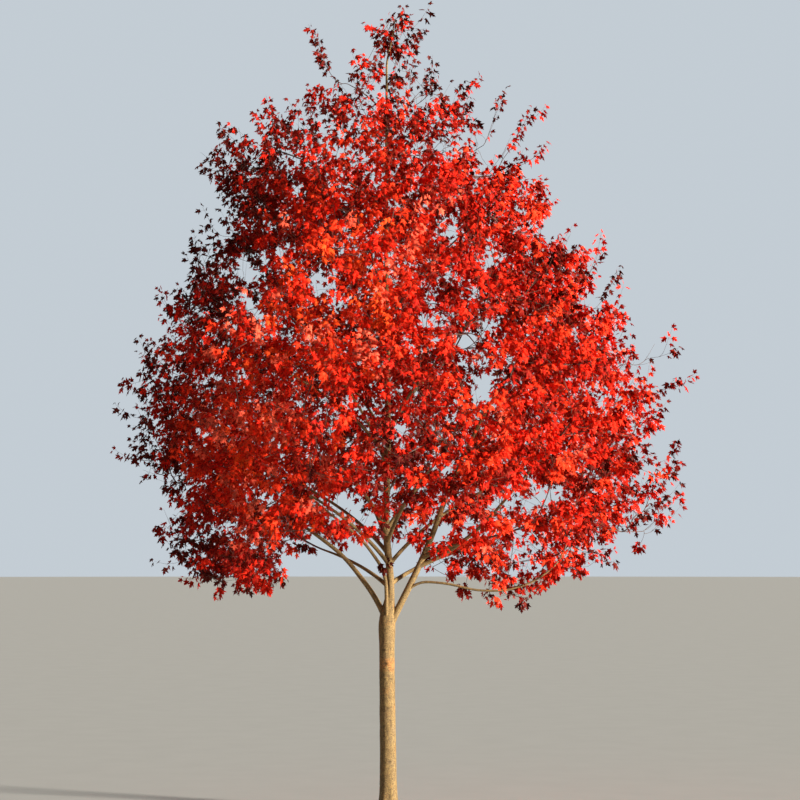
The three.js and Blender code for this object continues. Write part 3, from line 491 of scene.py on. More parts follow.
# Parts of the crown where the sprays get brighter or darker tints, as painted sunlight and painted shade:
# the middle, the size and by how much
PAINTED_LIGHT_AND_SHADE = np.array([
    [-0.9, -1.7, 6.0, 1.0, 0.5], [-0.8, -1.8, 5.2, 1.0, 0.8], [-1.1, -1.4, 3.9, 0.8, 0.8],
    [-1.4, -1.0, 3.5, 0.5, 0.4], [-1.3, 0.0, 8.0, 1.0, -0.5], [0.9, 0.0, 8.6, 0.9, -0.4],
    [-0.2, 0.2, 9.1, 1.0, -0.4], [-2.1, 0.0, 6.6, 0.8, -0.6], [-2.9, 0.0, 4.4, 0.8, -0.45],
    [3.4, 0.0, 5.2, 0.5, -0.4], [2.0, -1.0, 3.5, 0.8, -0.6], [-1.9, -0.8, 6.0, 0.8, -0.6],
    [-1.8, -0.5, 8.0, 0.6, -0.5], [0.5, -2.0, 5.8, 0.5, -0.4], [1.0, -1.8, 5.3, 0.5, -0.4],
    [-1.0, -1.2, 3.9, 0.5, 0.4],
])


# Rules shared with the part's source

def eased(rows, x, column):
    """The value at x of a table of rows, easing by 3t^2 - 2t^3 from row to row."""
    x = np.asarray(x, float)
    i = np.clip(np.searchsorted(rows[:, 0], x), 1, len(rows) - 1)
    low, high = rows[i - 1], rows[i]
    t = np.clip((x - low[..., 0]) / (high[..., 0] - low[..., 0]), 0, 1)
    return low[..., column] + (high[..., column] - low[..., column]) * t * t * (3 - 2 * t)


def smooth(x, low, high):
    """0 under low, 1 over high and 3t^2 - 2t^3 between."""
    t = np.clip((x - low) / (high - low), 0, 1)
    return t * t * (3 - 2 * t)


def bell(x, width=1.0):
    """1 at the middle, falling to both sides as e to the minus square of x over the width."""
    return np.exp(-((x / width) ** 2))


def drawn(shares, count, use, power=1):
    """A seeded share: the least, and what chance adds."""
    return shares[0] + shares[1] * chance(count, use) ** power


def chance(count, use):
    """A number from 0 to 1 for a place in the count and a use: the fraction of a large sine."""
    wave = np.sin(np.asarray(count) * 12.9898 + use * 78.233 + SEED) * 43758.5453
    return wave - np.floor(wave)


def spread(n):
    """Even filling of a four-way box: the fractions of a half plus n over the golden powers."""
    value = 0.5 + np.asarray(n)[:, None] / GOLDEN_FOUR ** np.arange(1, 5)
    return value - np.floor(value)


def unit(v):
    """Each vector over its length."""
    return v / np.maximum(np.linalg.norm(v, axis=-1, keepdims=True), 1e-9)


def trunk_radius(height, lift=0.0):
    """Bole, root flare and fork swell below, a power taper above, eased into each other over the fork.

    The bole reaches higher by lift before it eases over.
    """
    flare = FLARE * np.exp(-height / FLARE_HEIGHT)
    swell = FORK_SWELL * bell(height - FORK_HEIGHT, FORK_SPREAD)
    bole = BOLE_RADIUS - BOLE_TAPER * height + flare + swell
    left = np.clip((TRUNK_TOP - height) / (TRUNK_TOP - FORK_HEIGHT), 0, None)
    leader = LEADER_TIP_RADIUS + (LEADER_RADIUS - LEADER_TIP_RADIUS) * left ** LEADER_TAPER
    share = smooth(height - lift, FORK_HEIGHT, FORK_HEIGHT + FORK_LENGTH)
    return bole * (1 - share) + leader * share


def trunk_point(height):
    """The trunk's middle at a height."""
    height = np.asarray(height, float)
    return np.stack([eased(LEADER_DRIFT, height, 1), eased(LEADER_DRIFT, height, 2), height], -1)


def crown_radius(height, azimuth):
    """Left and right outlines blended by the cosine, with swells at the front and the back."""
    right = (1 + np.cos(azimuth)) / 2
    radius = eased(CROWN, height, 1) * (1 - right) + eased(CROWN, height, 2) * right
    swell = sum(np.sin(count * azimuth + height / rise) for count, rise in LUMP_WAVES) / 2
    return radius * (1 + LUMP * swell * np.abs(np.sin(azimuth)))


def crown_floor(radius, azimuth):
    """The lowest leaves: higher at the front and the back, and highest over the fork."""
    opening = 1 - smooth(radius, *OPEN_RADIUS)
    low = SKIRT_LOW + FRONT_LIFT * np.abs(np.sin(azimuth)) ** 3
    return low * (1 - opening) + np.maximum(CENTRE_LOW, low) * opening


def crown_depth(points):
    """How far inside the crown's outline each point is, level with it, and its share of the radius."""
    azimuth = np.arctan2(points[..., 1], points[..., 0])
    radius = np.hypot(points[..., 0], points[..., 1])
    reach = crown_radius(points[..., 2], azimuth)
    inside = (points[..., 2] > crown_floor(radius, azimuth)) & (points[..., 2] < CROWN_TOP)
    return np.where(inside, reach - radius, -1.0), np.where(inside, radius / reach, np.inf)


def in_sky_gap(points, grow=0.0, close=0.0):
    """True where the line of sight from the front passes through one of the sky gaps.

    Each is wider than high, with an edge that swings in and out by two sines. It is wider by grow, then
    narrower by the share that close gives.
    """
    scale = EYE_DISTANCE / (EYE_DISTANCE + points[..., 1])
    x = points[..., 0] * scale
    z = EYE_HEIGHT + (points[..., 2] - EYE_HEIGHT) * scale
    inside = np.zeros(x.shape, bool)
    for k, (middle, height, radius) in enumerate(np.concatenate([SKY_GAPS, SKY_FLECKS, BAYS])):
        turn = np.arctan2(z - height, x - middle)
        ragged = 1 + sum(swing * np.sin(waves * turn + step * k) for swing, waves, step in GAP_WAVES)
        away = np.hypot((x - middle) / GAP_STRETCH[0], (z - height) * GAP_STRETCH[1])
        inside |= away < (radius * ragged + grow) * (1 - close)
    return inside


def in_light_way(points, close=0.0):
    """True in the arched way, open to the right front, through which low sun reaches the fork.

    Its roof falls with the square of the place across and climbs outwards. It is lower by close.
    """
    heading = np.array([math.cos(LIGHT_HEADING), math.sin(LIGHT_HEADING)])
    along = points[..., :2] @ heading
    across = points[..., 0] * heading[1] - points[..., 1] * heading[0]
    arch = LIGHT_TOP - LIGHT_ARCH * (across / LIGHT_WIDTH) ** 2 - close
    return (along > LIGHT_START) & (points[..., 2] - LIGHT_CLIMB * along < arch)


def sparse_share(points):
    """The share of the leaves that is missing at each point, a bell round each sparse place."""
    away = np.hypot(points[:, None, 0] - SPARSE_PLACES[:, 0], points[:, None, 2] - SPARSE_PLACES[:, 1])
    return (SPARSE_PLACES[:, 3] * bell(away, SPARSE_PLACES[:, 2])).max(-1)


def bezier(p0, p1, p2, t):
    """The quadratic curve (1-t)^2 p0 + 2t(1-t) p1 + t^2 p2."""
    t = np.asarray(t, float)[..., None]
    return (1 - t) ** 2 * p0 + 2 * t * (1 - t) * p1 + t ** 2 * p2


def bezier_heading(p0, p1, p2, t):
    """The direction of the quadratic curve at t."""
    t = np.asarray(t, float)[..., None]
    return unit((1 - t) * (p1 - p0) + t * (p2 - p1))


def angle_rows(angles):
    """A table of angles at even steps from 0 to 1, in radians."""
    return np.stack([np.linspace(0, 1, len(angles)), np.radians(angles)], -1)


def limb_path(start, headings, rises, length):
    """A limb walked in even steps along its heading and rise angles."""
    share = (np.arange(LIMB_STEPS) + 0.5) / LIMB_STEPS
    heading = eased(angle_rows(headings), share, 1)
    rise = eased(angle_rows(rises), share, 1)
    step = np.stack([np.cos(rise) * np.cos(heading), np.cos(rise) * np.sin(heading), np.sin(rise)], -1)
    return start + np.concatenate([np.zeros((1, 3)), np.cumsum(step * length / LIMB_STEPS, 0)])


def arched_controls(start, end):
    """Control points of a limb that rises steeply and flattens."""
    way = end - start
    return start, start + way * np.array([ARCH[0], ARCH[0], ARCH[1]]), end


def path_point(path, share):
    """The point at a share of a path's steps."""
    at = share * (len(path) - 1)
    i = min(len(path) - 2, int(at))
    return path[i] + (path[i + 1] - path[i]) * (at - i)


@functools.lru_cache(maxsize=1)
def limbs_and_masses():
    """All boughs by name, as (path, end radii), and all masses, as name, centre, stem controls and radius."""
    boughs = {}
    for name, parent, place, headings, rises, length, radii in LIMBS:
        start = trunk_point(place) if parent == "trunk" else path_point(boughs[parent][0], place)
        boughs[name] = (limb_path(start, headings, rises, length), radii)
    masses = []
    for tier, height, reach, azimuths, first, step, radii in TIERS:
        for k, azimuth in enumerate(azimuths):
            side = SIDES[round(azimuth / 45 + 1e-9) % 8]
            name = f"foliage_{tier}_{side}"
            angle = math.radians(azimuth)
            radius = reach * crown_radius(height, angle)
            low = crown_floor(radius, angle) + FLOOR_CLEARANCE
            centre = np.array([radius * math.cos(angle), radius * math.sin(angle), max(height, low)])
            start = trunk_point(first + step * STAGGER[k % 4])
            if isinstance(radii, float):
                masses.append((name, centre, arched_controls(start, centre), radii))
                continue
            bough = CARRIED.get(name, f"bough_{tier}_{side}")
            if name not in CARRIED:
                parent, share = FORKED.get(name, ("trunk", 0))
                foot = path_point(boughs[parent][0], share) if share else start
                controls = arched_controls(foot, foot + (centre - foot) * BOUGH_SHARE)
                boughs[bough] = (bezier(*controls, np.linspace(0, 1, LIMB_STEPS + 1)), radii)
            path, ends = boughs[bough]
            heading = unit(path[-1] - path[-2])
            away = np.linalg.norm(centre - path[-1])
            masses.append((name, centre, (path[-1], path[-1] + heading * STEM_BEND * away, centre), ends[1]))
    tip = trunk_point(TRUNK_TOP)
    top = np.array(TOP_MASS)
    bend = tip + UP * STEM_BEND * np.linalg.norm(top - tip)
    masses.append(("foliage_top", top, (tip, bend, top), LEADER_TIP_RADIUS))
    return boughs, masses


def shoot_tips():
    """The tips of the single shoots that reach past the outline: left and right, then front and back."""
    k = np.arange(len(SHOOTS))
    flat = np.stack([SHOOTS[:, 0], SHOOT_DEPTH * (chance(k, SHOOT_SIDE) - 0.5), SHOOTS[:, 1]], -1)
    k = np.arange(ROUND_SHOOTS)
    height = ROUND_HEIGHTS[0] + (ROUND_HEIGHTS[1] - ROUND_HEIGHTS[0]) * (k + 0.5) / ROUND_SHOOTS
    azimuth = np.radians(90 + 180 * (k % 2) + ROUND_FAN * (2 * chance(k, ROUND_SIDE) - 1))
    radius = ROUND_REACH * crown_radius(height, azimuth)
    return np.concatenate([flat, np.stack([radius * np.cos(azimuth), radius * np.sin(azimuth), height], -1)])


# Growth of the twigs

def wander(count, use):
    """Seeded directions, even over the sphere."""
    z = 2 * chance(count, use) - 1
    turn = 2 * math.pi * chance(count, use + 1)
    flat = np.sqrt(1 - z ** 2)
    return np.stack([flat * np.cos(turn), flat * np.sin(turn), z], -1)


def ripple(place, waves, stretch, salt):
    """A smooth seeded field near -1 to 1: a mean of sines along seeded directions, stretched lengthwise."""
    k = np.arange(RIPPLE_WAVES) + RIPPLE_COUNTS * salt
    length = waves * drawn(RIPPLE_LENGTHS, k, WAVE_LENGTH)
    scaled = place * np.array([1, 1, 1 / stretch])
    turns = scaled @ (wander(k, WAVE_WAY) * (2 * math.pi / length)[:, None]).T
    return np.sin(turns + 2 * math.pi * chance(k, WAVE_PHASE)).mean(-1) * RIPPLE_GAIN


def nearest_mass(points):
    """The number of the mass whose centre is nearest to each point."""
    centres = np.array([mass[1] for mass in limbs_and_masses()[1]])
    return np.linalg.norm(points[:, None] - centres, axis=-1).argmin(-1)


def short_tips():
    """The tips of the shorter shoots, spread front to back."""
    k = np.arange(len(SHORT_SHOOTS))
    return np.stack([SHORT_SHOOTS[:, 0], SHORT_DEPTH * (chance(k, SHORT_SIDE) - 0.5), SHORT_SHOOTS[:, 1]], -1)


def shoot_line(tips, places, number):
    """Targets along the shoots that grow from one mass, each in a line that comes from below."""
    centre = limbs_and_masses()[1][number][1]
    tips = tips[nearest_mass(tips) == number]
    back = unit(unit(centre - tips) - STEEPNESS * UP)
    points = (tips[:, None] + back[:, None] * places[:, None]).reshape(-1, 3)
    return points + SHOOT_STEP * wander(np.arange(len(points)) + SHOOT_COUNTS * number, SHOOT_STRAY)


def thinning(points):
    """The share of the sprays that stand at each point: a table over height, more round the leader's top."""
    top = TOP_SHARE * bell(np.hypot(points[:, 0], points[:, 1]), TOP_RADIUS)
    table = eased(THINNING, points[:, 2], 1) + top * smooth(points[:, 2], *TOP_HEIGHTS)
    return table * (1 - SPARSE_SPRAYS * sparse_share(points))


def twig_targets(number, tries):
    """Ends of a mass's twigs: along its single shoots first, then even filling of its space.

    The filling is thinner deep inside. Also tells which targets belong to a single shoot.
    """
    centre = limbs_and_masses()[1][number][1]
    tips = np.concatenate([
        shoot_line(shoot_tips(), SHOOT_PLACES, number), shoot_line(short_tips(), SHORT_PLACES, number),
        HANGING_SPRAYS[nearest_mass(HANGING_SPRAYS) == number]])
    draws = spread(np.arange(1, tries))
    step = TARGET_STEP * wander(np.arange(1, tries) + TARGET_COUNTS * number, TARGET_STRAY)
    points = centre + 2 * MASS_REACH * (draws[:, :3] - 0.5) + step
    depth, share = crown_depth(points)
    low, high = HEADROOM
    over = points + UP * (low + (high - low) * smooth(points[:, 2], *HEADROOM_HEIGHTS))[:, None]
    keep = (share < TWIG_REACH) & (crown_depth(over)[1] < 1)
    keep &= ~in_sky_gap(points, GAP_GROWTH) & ~in_light_way(points)
    layers = np.clip(LAYER_MIDDLE + LAYER_SWING * ripple(points, *LAYER_RIPPLE), *LAYER_LIMITS)
    away = np.linalg.norm(points[:, None] - CLOSE_PLACES[:, :3], axis=-1) / CLOSE_PLACES[:, 3]
    most, least = SHELL_SHARES
    filling = np.clip(most - depth / SHELL, least, 1) * thinning(points) * layers
    keep &= draws[:, 3] < filling + CLOSE_SHARE * bell(away.min(-1))
    points = points[keep]
    points = points[nearest_mass(points) == number]
    return np.concatenate([tips, points]), np.arange(len(tips) + len(points)) < len(tips)


def grow_twigs(mass, targets):
    """Twigs of one mass, each a quadratic curve from the fork that costs least to its target.

    The cost of a fork is its distance, more where the twig would turn back, plus a share of the way back to
    the stem. Gives the control points of each twig, the sprays that its first and last half carry, and the
    sprays that the stem's halves carry.
    """
    _, _, stem, _ = mass
    count = len(targets)
    point = np.zeros((2 + 2 * count, 3))
    heading = np.zeros_like(point)
    way = np.zeros(len(point))
    parent = np.full(len(point), -1)
    controls = np.zeros((count, 3, 3))
    stem_path = bezier(*stem, np.linspace(0, 1, STEM_TUBE[0]))
    stem_length = np.linalg.norm(np.diff(stem_path, axis=0), axis=-1).sum()
    point[:2] = bezier(*stem, HALVES)
    heading[:2] = bezier_heading(*stem, HALVES)
    way[:2] = stem_length * HALVES
    parent[1] = 0
    for n, target in enumerate(targets):
        have = 2 + 2 * n
        reach = target - point[:have]
        length = np.linalg.norm(reach, axis=-1)
        turn = 1 - (reach * heading[:have]).sum(-1) / np.maximum(length, 1e-6)
        fork = int((length * (1 + TURN_WEIGHT * turn) + WAY_WEIGHT * way[:have]).argmin())
        span = length[fork]
        control = point[fork] + heading[fork] * TWIG_ARCH * span + UP * TWIG_LIFT * span
        curve = (point[fork], control, target)
        controls[n] = curve
        place = slice(have, have + 2)
        point[place] = bezier(*curve, HALVES)
        heading[place] = bezier_heading(*curve, HALVES)
        way[place] = way[fork] + span * HALVES
        parent[have] = fork
        parent[have + 1] = have
    load = np.zeros(len(point))
    load[3::2] = 1
    for i in range(len(point) - 1, 0, -1):
        load[parent[i]] += load[i]
    return controls, load[2::2], load[3::2], load[:2]


@functools.lru_cache(maxsize=1)
def grown_crown(tries):
    """All twigs of the crown, mass by mass.

    Gives their control points, the sprays that their first and last halves carry and whether each is on a
    single shoot, then the sprays that the halves of the stems carry.
    """
    masses = limbs_and_masses()[1]
    targets = [twig_targets(i, tries) for i in range(len(masses))]
    grown = [grow_twigs(mass, points) for mass, (points, _) in zip(masses, targets)]
    controls, first, last = (np.concatenate([g[k] for g in grown]) for k in range(3))
    single = np.concatenate([flags for _, flags in targets])
    return controls, first, last, single, np.array([g[3] for g in grown])


def outwards(points):
    """The level direction away from the leader at each point."""
    return unit(points * np.array([1, 1, 0]))


def leafy_shoots(sizes):
    """The shoot at each twig's end: its foot, its first direction, its bend and its length.

    A point of it at share s is foot + length (s direction + s^2 bend), and the bend turns it up.
    """
    controls, _, _, single, _ = grown_crown(sizes.tries)
    number = np.arange(len(controls))
    foot = controls[:, 2]
    heading = unit(foot - controls[:, 1])
    seeded = wander(number, SPRAY_WAY)
    lift = LOOSE_WAY[1] + TOP_LIFT * smooth(foot[:, 2], *TOP_LIFT_HEIGHTS)[:, None]
    loose = unit(heading + LOOSE_WAY[0] * outwards(foot) + lift * UP + LOOSE_WAY[2] * seeded)
    straight = unit(heading + STRAIGHT_WAY[0] * UP + STRAIGHT_WAY[1] * seeded)
    direction = np.where(single[:, None], straight, loose)
    bend = SHOOT_BEND[1] * UP + SHOOT_BEND[0] * outwards(foot)
    length = sizes.shoot_length * drawn(SHOOT_LENGTHS, number, SPRAY_LENGTH, 2)
    length = np.where(single, SINGLE_LENGTH * sizes.shoot_length, length)
    share = crown_depth(foot + length[:, None] * (direction + bend))[1]
    length = np.where((share > SHOOT_OVERHANG) & ~single, length / 2, length)
    return foot, direction, bend, length


def shoot_points(foot, direction, bend, length, s):
    """The points of every shoot at the shares s of its length."""
    s = s[None, :, None]
    return foot[:, None] + length[:, None, None] * (s * direction[:, None] + s ** 2 * bend[:, None])


def leaves_kept(middle, count, single):
    """True for the leaves that hang: not fallen, not over an opening, in the light's way or in the leader."""
    height = middle[:, 2]
    least, more, power = GAP_CLOSING
    kept = ~in_sky_gap(middle, 0, drawn((least, more), count, GAP_EDGE, power))
    kept &= ~in_light_way(middle, WAY_CLOSING * chance(count, WAY_EDGE) ** 2)
    bare = np.where(single, SINGLE_LOSS, TOP_LOSS * smooth(height, *TOP_LOSS_HEIGHTS))
    kept &= chance(count, LEAF_FALL) > np.maximum(bare, LEAF_LOSS + sparse_share(middle))
    off_leader = np.linalg.norm((middle - trunk_point(height))[:, :2], axis=-1)
    return kept & (off_leader > trunk_radius(height) + LEADER_CLEARANCE) & (height < CROWN_TOP + TOP_OVERHANG)


def leaf_frames(sizes):
    """Every leaf: petiole foot, blade foot, axis, face, length, spray number and a seeded count.

    Leaves stand in opposite pairs along a shoot, each pair a quarter turn on from the last. The blade hangs
    from its petiole, and its face looks up and outwards.
    """
    foot, direction, bend, length = leafy_shoots(sizes)
    single = grown_crown(sizes.tries)[3]
    pairs = np.arange(len(LEAF_PLACES))
    number = np.arange(len(foot))
    count = np.arange(len(number) * len(pairs) * 2).reshape(len(number), len(pairs), 2)
    node = shoot_points(foot, direction, bend, length, LEAF_PLACES)[:, :, None]
    along = unit(direction[:, None] + 2 * LEAF_PLACES[None, :, None] * bend[:, None])
    side = unit(np.cross(along, UP))
    over = np.cross(side, along)
    turn = 2 * math.pi * chance(number, PAIR_TURN)[:, None] + math.pi / 2 * pairs
    turn = turn[..., None] + math.pi * np.arange(2)
    ring = np.cos(turn)[..., None] * side[:, :, None] + np.sin(turn)[..., None] * over[:, :, None]
    lean = np.where(pairs == pairs[-1], STALK_LEAN[1], STALK_LEAN[0])[None, :, None, None]
    stalk = unit(ring + lean * along[:, :, None] + STALK_RISE * UP)
    size = sizes.leaf_length * PAIR_SIZES[None, :, None] * drawn(LEAF_SIZES, count, LEAF_SIZE)
    reach = (sizes.petiole_length * drawn(STALK_LENGTHS, count, STALK_LENGTH))[..., None]
    blade = node + stalk * reach - UP * STALK_SAG * reach
    away = outwards(blade)
    axis = AXIS_WAY[0] * stalk + AXIS_WAY[1] * away - sizes.droop * UP
    axis = unit(axis + AXIS_WAY[2] * wander(count, LEAF_AXIS))
    face = FACE_WAY[0] * away + FACE_WAY[1] * UP + FACE_WAY[2] * wander(count, LEAF_FACE)
    face = unit(face - (face * axis).sum(-1, keepdims=True) * axis)
    start = np.broadcast_to(node, blade.shape)
    spray = np.broadcast_to(number[:, None, None], count.shape)
    start, blade, axis, face = (a.reshape(-1, 3) for a in (start, blade, axis, face))
    size, spray, count = (a.ravel() for a in (size, spray, count))
    kept = leaves_kept(blade + axis * size[:, None] * 0.5, count, single[spray])
    return [a[kept] for a in (start, blade, axis, face, size, spray, count)]


def spray_tints(sizes):
    """The tint number of every spray: slow waves, painted sunlight and shade by place, painted shade to the
    left and on single shoots, and chance, put in order and cut by the shares.
    """
    controls, _, _, single, _ = grown_crown(sizes.tries)
    foot = controls[:, 2]
    number = np.arange(len(foot))
    waves = np.sin(foot @ TINT_WAVES[:, :3].T + TINT_WAVES[:, 3]).sum(-1)
    # Painted sunlight and painted shade: brighter and darker tints by place in the crown
    away = np.linalg.norm(foot[:, None] - PAINTED_LIGHT_AND_SHADE[:, :3], axis=-1)
    painted_light = (PAINTED_LIGHT_AND_SHADE[:, 4] * bell(away, PAINTED_LIGHT_AND_SHADE[:, 3])).sum(-1)
    score = WAVE_SHARE * waves + CHANCE_SHARE * (chance(number, TINT_DRAW) - 0.5)
    # Painted shade: darker tints to the left and on single shoots
    score += PAINTED_SIDE_SHADE * foot[:, 0] + painted_light + PAINTED_SINGLE_SHADE * single
    order = score.argsort().argsort() / len(score)
    return np.searchsorted(np.cumsum(TINT_SHARES)[:-1], order)


# Surfaces

def store(piece, name, kind, field, values):
    """Keeps a value for each point on the mesh."""
    attribute = piece.data.attributes.new(name, kind, "POINT")
    attribute.data.foreach_set(field, np.ascontiguousarray(values, np.float32).ravel())


def new_piece(name, points, faces, place=None, smooth_faces=True):
    """A mesh object from points, equal-sided faces and, where given, each point's place on its own limb."""
    mesh = bpy.data.meshes.new(name)
    mesh.vertices.add(points.size // 3)
    mesh.vertices.foreach_set("co", np.ascontiguousarray(points, np.float32).ravel())
    mesh.loops.add(faces.size)
    mesh.loops.foreach_set("vertex_index", np.ascontiguousarray(faces, np.int32).ravel())
    mesh.polygons.add(len(faces))
    mesh.polygons.foreach_set("loop_start", np.arange(0, faces.size, faces.shape[1], dtype=np.int32))
    piece = bpy.data.objects.new(name, mesh)
    if place is not None:
        store(piece, "place", "FLOAT_VECTOR", "vector", place)
    mesh.update(calc_edges=True)
    mesh.validate()
    mesh.polygons.foreach_set("use_smooth", np.full(len(mesh.polygons), smooth_faces))
    bpy.context.scene.collection.objects.link(piece)
    return piece


def ring_angles(sides):
    """Even angles round a ring."""
    return 2 * math.pi * np.arange(sides) / sides


def tube_points(path, radius, sides):
    """Rings carried along paths: path + radius (cos a across + sin a along), for paths of one length.

    path is (tubes, rings, 3) and radius (tubes, rings) or (tubes, rings, sides). Also gives each point's
    place on its own limb: round it as a circle of its radius, and the length along it.
    """
    step = np.diff(path, axis=1)
    heading = unit(np.concatenate([step[:, :1], step[:, 1:] + step[:, :-1], step[:, -1:]], 1))
    middle = heading[:, heading.shape[1] // 2]
    side = np.cross(UP, middle)
    leans = np.linalg.norm(side, axis=-1, keepdims=True) > UPRIGHT
    side = unit(np.where(leans, side, np.array([0.0, 1.0, 0.0])))[:, None]
    across = unit(np.cross(heading, side))
    along = np.cross(across, heading)
    angle = ring_angles(sides)
    if radius.ndim == 2:
        radius = np.repeat(radius[..., None], sides, -1)
    circle = np.cos(angle)[:, None] * across[:, :, None] + np.sin(angle)[:, None] * along[:, :, None]
    points = path[:, :, None] + radius[..., None] * circle
    run = np.concatenate([np.zeros((len(path), 1)), np.linalg.norm(step, axis=-1).cumsum(1)], 1)
    mean = radius.mean(-1, keepdims=True)
    place = np.stack([mean * np.cos(angle), mean * np.sin(angle), np.repeat(run[..., None], sides, -1)], -1)
    return points, place


def tube_faces(tubes, rings, sides):
    """Triangles between the rings of each tube, facing out, with a fan over each end."""
    grid = np.arange(tubes * rings * sides).reshape(tubes, rings, sides)
    after = np.roll(grid, -1, 2)
    lower = np.stack([grid[:, :-1], after[:, 1:], grid[:, 1:]], -1).reshape(-1, 3)
    upper = np.stack([grid[:, :-1], after[:, :-1], after[:, 1:]], -1).reshape(-1, 3)
    spoke = np.arange(1, sides - 1)
    hub = np.broadcast_to(grid[:, :, :1], (tubes, rings, sides - 2))
    fan = np.stack([hub, grid[:, :, spoke], grid[:, :, spoke + 1]], -1)
    foot = fan[:, 0, :, ::-1].reshape(-1, 3)
    return np.concatenate([lower, upper, foot, fan[:, -1].reshape(-1, 3)])


def resampled(path, count):
    """A path with a new count of points, at even lengths along it."""
    run = np.concatenate([[0], np.linalg.norm(np.diff(path, axis=0), axis=-1).cumsum()])
    at = np.linspace(0, run[-1], count)
    return np.stack([np.interp(at, run, path[:, k]) for k in range(3)], -1)


def bark_cracks(place):
    """How deep in a crack each point is, from 0 to 1: cracks follow the zero lines of a lengthwise ripple."""
    return bell(ripple(place, *CRACK_RIPPLE), CRACK_EDGE)


def bark_relief(place, radius, depth):
    """Relief in metres: cracks, fine grain and slow lumps, less on thinner limbs."""
    fine = FINE_RELIEF * ripple(place, *FINE_RIPPLE)
    lumps = LUMP_RELIEF * ripple(place, *LUMP_RIPPLE)
    return np.clip(radius / BOLE_RADIUS, 0, RELIEF_LIMIT) * depth * (fine + lumps - bark_cracks(place))


def scar_fields(angle, height, radius):
    """Old twig scars: a raised ring, as a bell over the way from it, less a wider bell over its middle.

    Gives the relief in metres and a dark mask.
    """
    relief = mask = 0.0
    for z, azimuth, size in SCARS:
        round_way = (angle - math.radians(azimuth) + math.pi) % (2 * math.pi) - math.pi
        away = np.hypot(round_way * radius / SCAR_WIDTH, height - z) / size
        ring = bell(away - 1, SCAR_RING_WIDTH) - SCAR_SINK * bell(away, SCAR_SINK_WIDTH)
        relief += SCAR_RING * size * ring
        mask += np.exp(-((away / SCAR_MASK) ** 4))
    return relief, np.clip(mask, 0, 1)


def trunk_surface(depth):
    """The trunk over height and angle: its middle + (radius x lobes + relief) (cos a across + sin a back).

    The lobes are 1 + a share of the sine of five times the angle, fading upwards. Also gives each point's
    place on the bark and how dark its cracks and scars are.
    """
    low, high = TRUNK_RINGS
    height = np.concatenate([np.linspace(0, FORK_TOP, low), np.linspace(FORK_TOP, TRUNK_TOP, high)[1:]])
    height = height[:, None]
    angle = ring_angles(TRUNK_SIDES)
    right = (1 + np.cos(angle)) / 2
    lift = (FORK_LIFT[0] * right + FORK_LIFT[1] * (1 - right)) * np.cos(angle) ** 2
    lobes = 1 + LOBE_DEPTH * np.sin(FLARE_LOBES * angle) * np.exp(-height / LOBE_HEIGHT)
    mean = trunk_radius(height)
    circle = np.stack([np.cos(angle), np.sin(angle)], -1)
    place = np.concatenate([mean[..., None] * circle, np.repeat(height, TRUNK_SIDES, 1)[..., None]], -1)
    scars, mask = scar_fields(angle, height, mean)
    relief = bark_relief(place, mean, depth) + scars
    ring = trunk_radius(height, lift) * lobes + relief * smooth(height, 0, FOOT_EASE)
    points = np.repeat(trunk_point(height), TRUNK_SIDES, 1)
    points[..., :2] += ring[..., None] * circle
    return points, place, np.maximum(TRUNK_CRACKS * bark_cracks(place), SCAR_SHADE * mask)


def bough_surface(depth):
    """The boughs as tubes whose radius falls evenly from foot to tip, with a collar and the bark's relief.

    The collar is 1 + a share of e to the minus run over its length. Also gives each point's place on the
    bark, stepped from bough to bough so that no two have the same.
    """
    paths, radii = zip(*limbs_and_masses()[0].values())
    path = np.stack([resampled(path, BOUGH_RINGS) for path in paths])
    start, end = np.array(radii).T[..., None]
    share = np.linspace(0, 1, BOUGH_RINGS)
    run = np.linalg.norm(np.diff(path, axis=1), axis=-1).sum(1)[:, None] * share
    radius = (start + (end - start) * share) * (1 + COLLAR * np.exp(-run / (COLLAR_LENGTH * start)))
    _, place = tube_points(path, radius, BOUGH_SIDES)
    place += BARK_STEP * np.arange(len(path))[:, None, None, None]
    relief = bark_relief(place, radius[..., None], depth)
    return tube_points(path, radius[..., None] + relief, BOUGH_SIDES)[0], place


def leaf_outline():
    """The blade's middle point, then its outline from foot to tip and back, as along and across."""
    back = LEAF_HALF[::-1] * np.array([1, -1])
    return np.concatenate([[[LEAF_MIDDLE, 0], [0, 0]], LEAF_HALF, [[1, 0]], back])


def leaf_surface(blade, axis, face, size, count):
    """Blades over u along and v across: foot + size (u axis + v across + w face).

    w is minus fold |v| minus curl u^2, so a blade folds along its midrib and bends to its tip. Its middle
    point stands up a little.
    """
    across = np.cross(face, axis)
    u, v = leaf_outline().T
    fold = drawn(LEAF_FOLDS, count, LEAF_FOLD)[:, None]
    curl = drawn(LEAF_CURLS, count, LEAF_CURL)[:, None]
    w = -fold * np.abs(v) - curl * u ** 2
    w[:, 0] += LEAF_HEART
    return blade[:, None] + size[:, None, None] * (
        u[:, None] * axis[:, None] + v[:, None] * across[:, None] + w[..., None] * face[:, None])


def leaf_faces():
    """A leaf's triangles: a fan round its middle, and the stalk. Also tells which points are on a vein."""
    rim = len(leaf_outline()) - 1
    ring = np.arange(rim)
    fan = np.stack([0 * ring, 1 + (ring + 1) % rim, 1 + ring], -1)
    stalk = [[1, rim + 1, rim + 2]]
    veined = (0, 1 + LOBE_TIP, rim // 2, rim - 1 - LOBE_TIP)
    return np.concatenate([fan, stalk]), np.concatenate([[1.0], np.isin(ring, veined), [1, 1]])


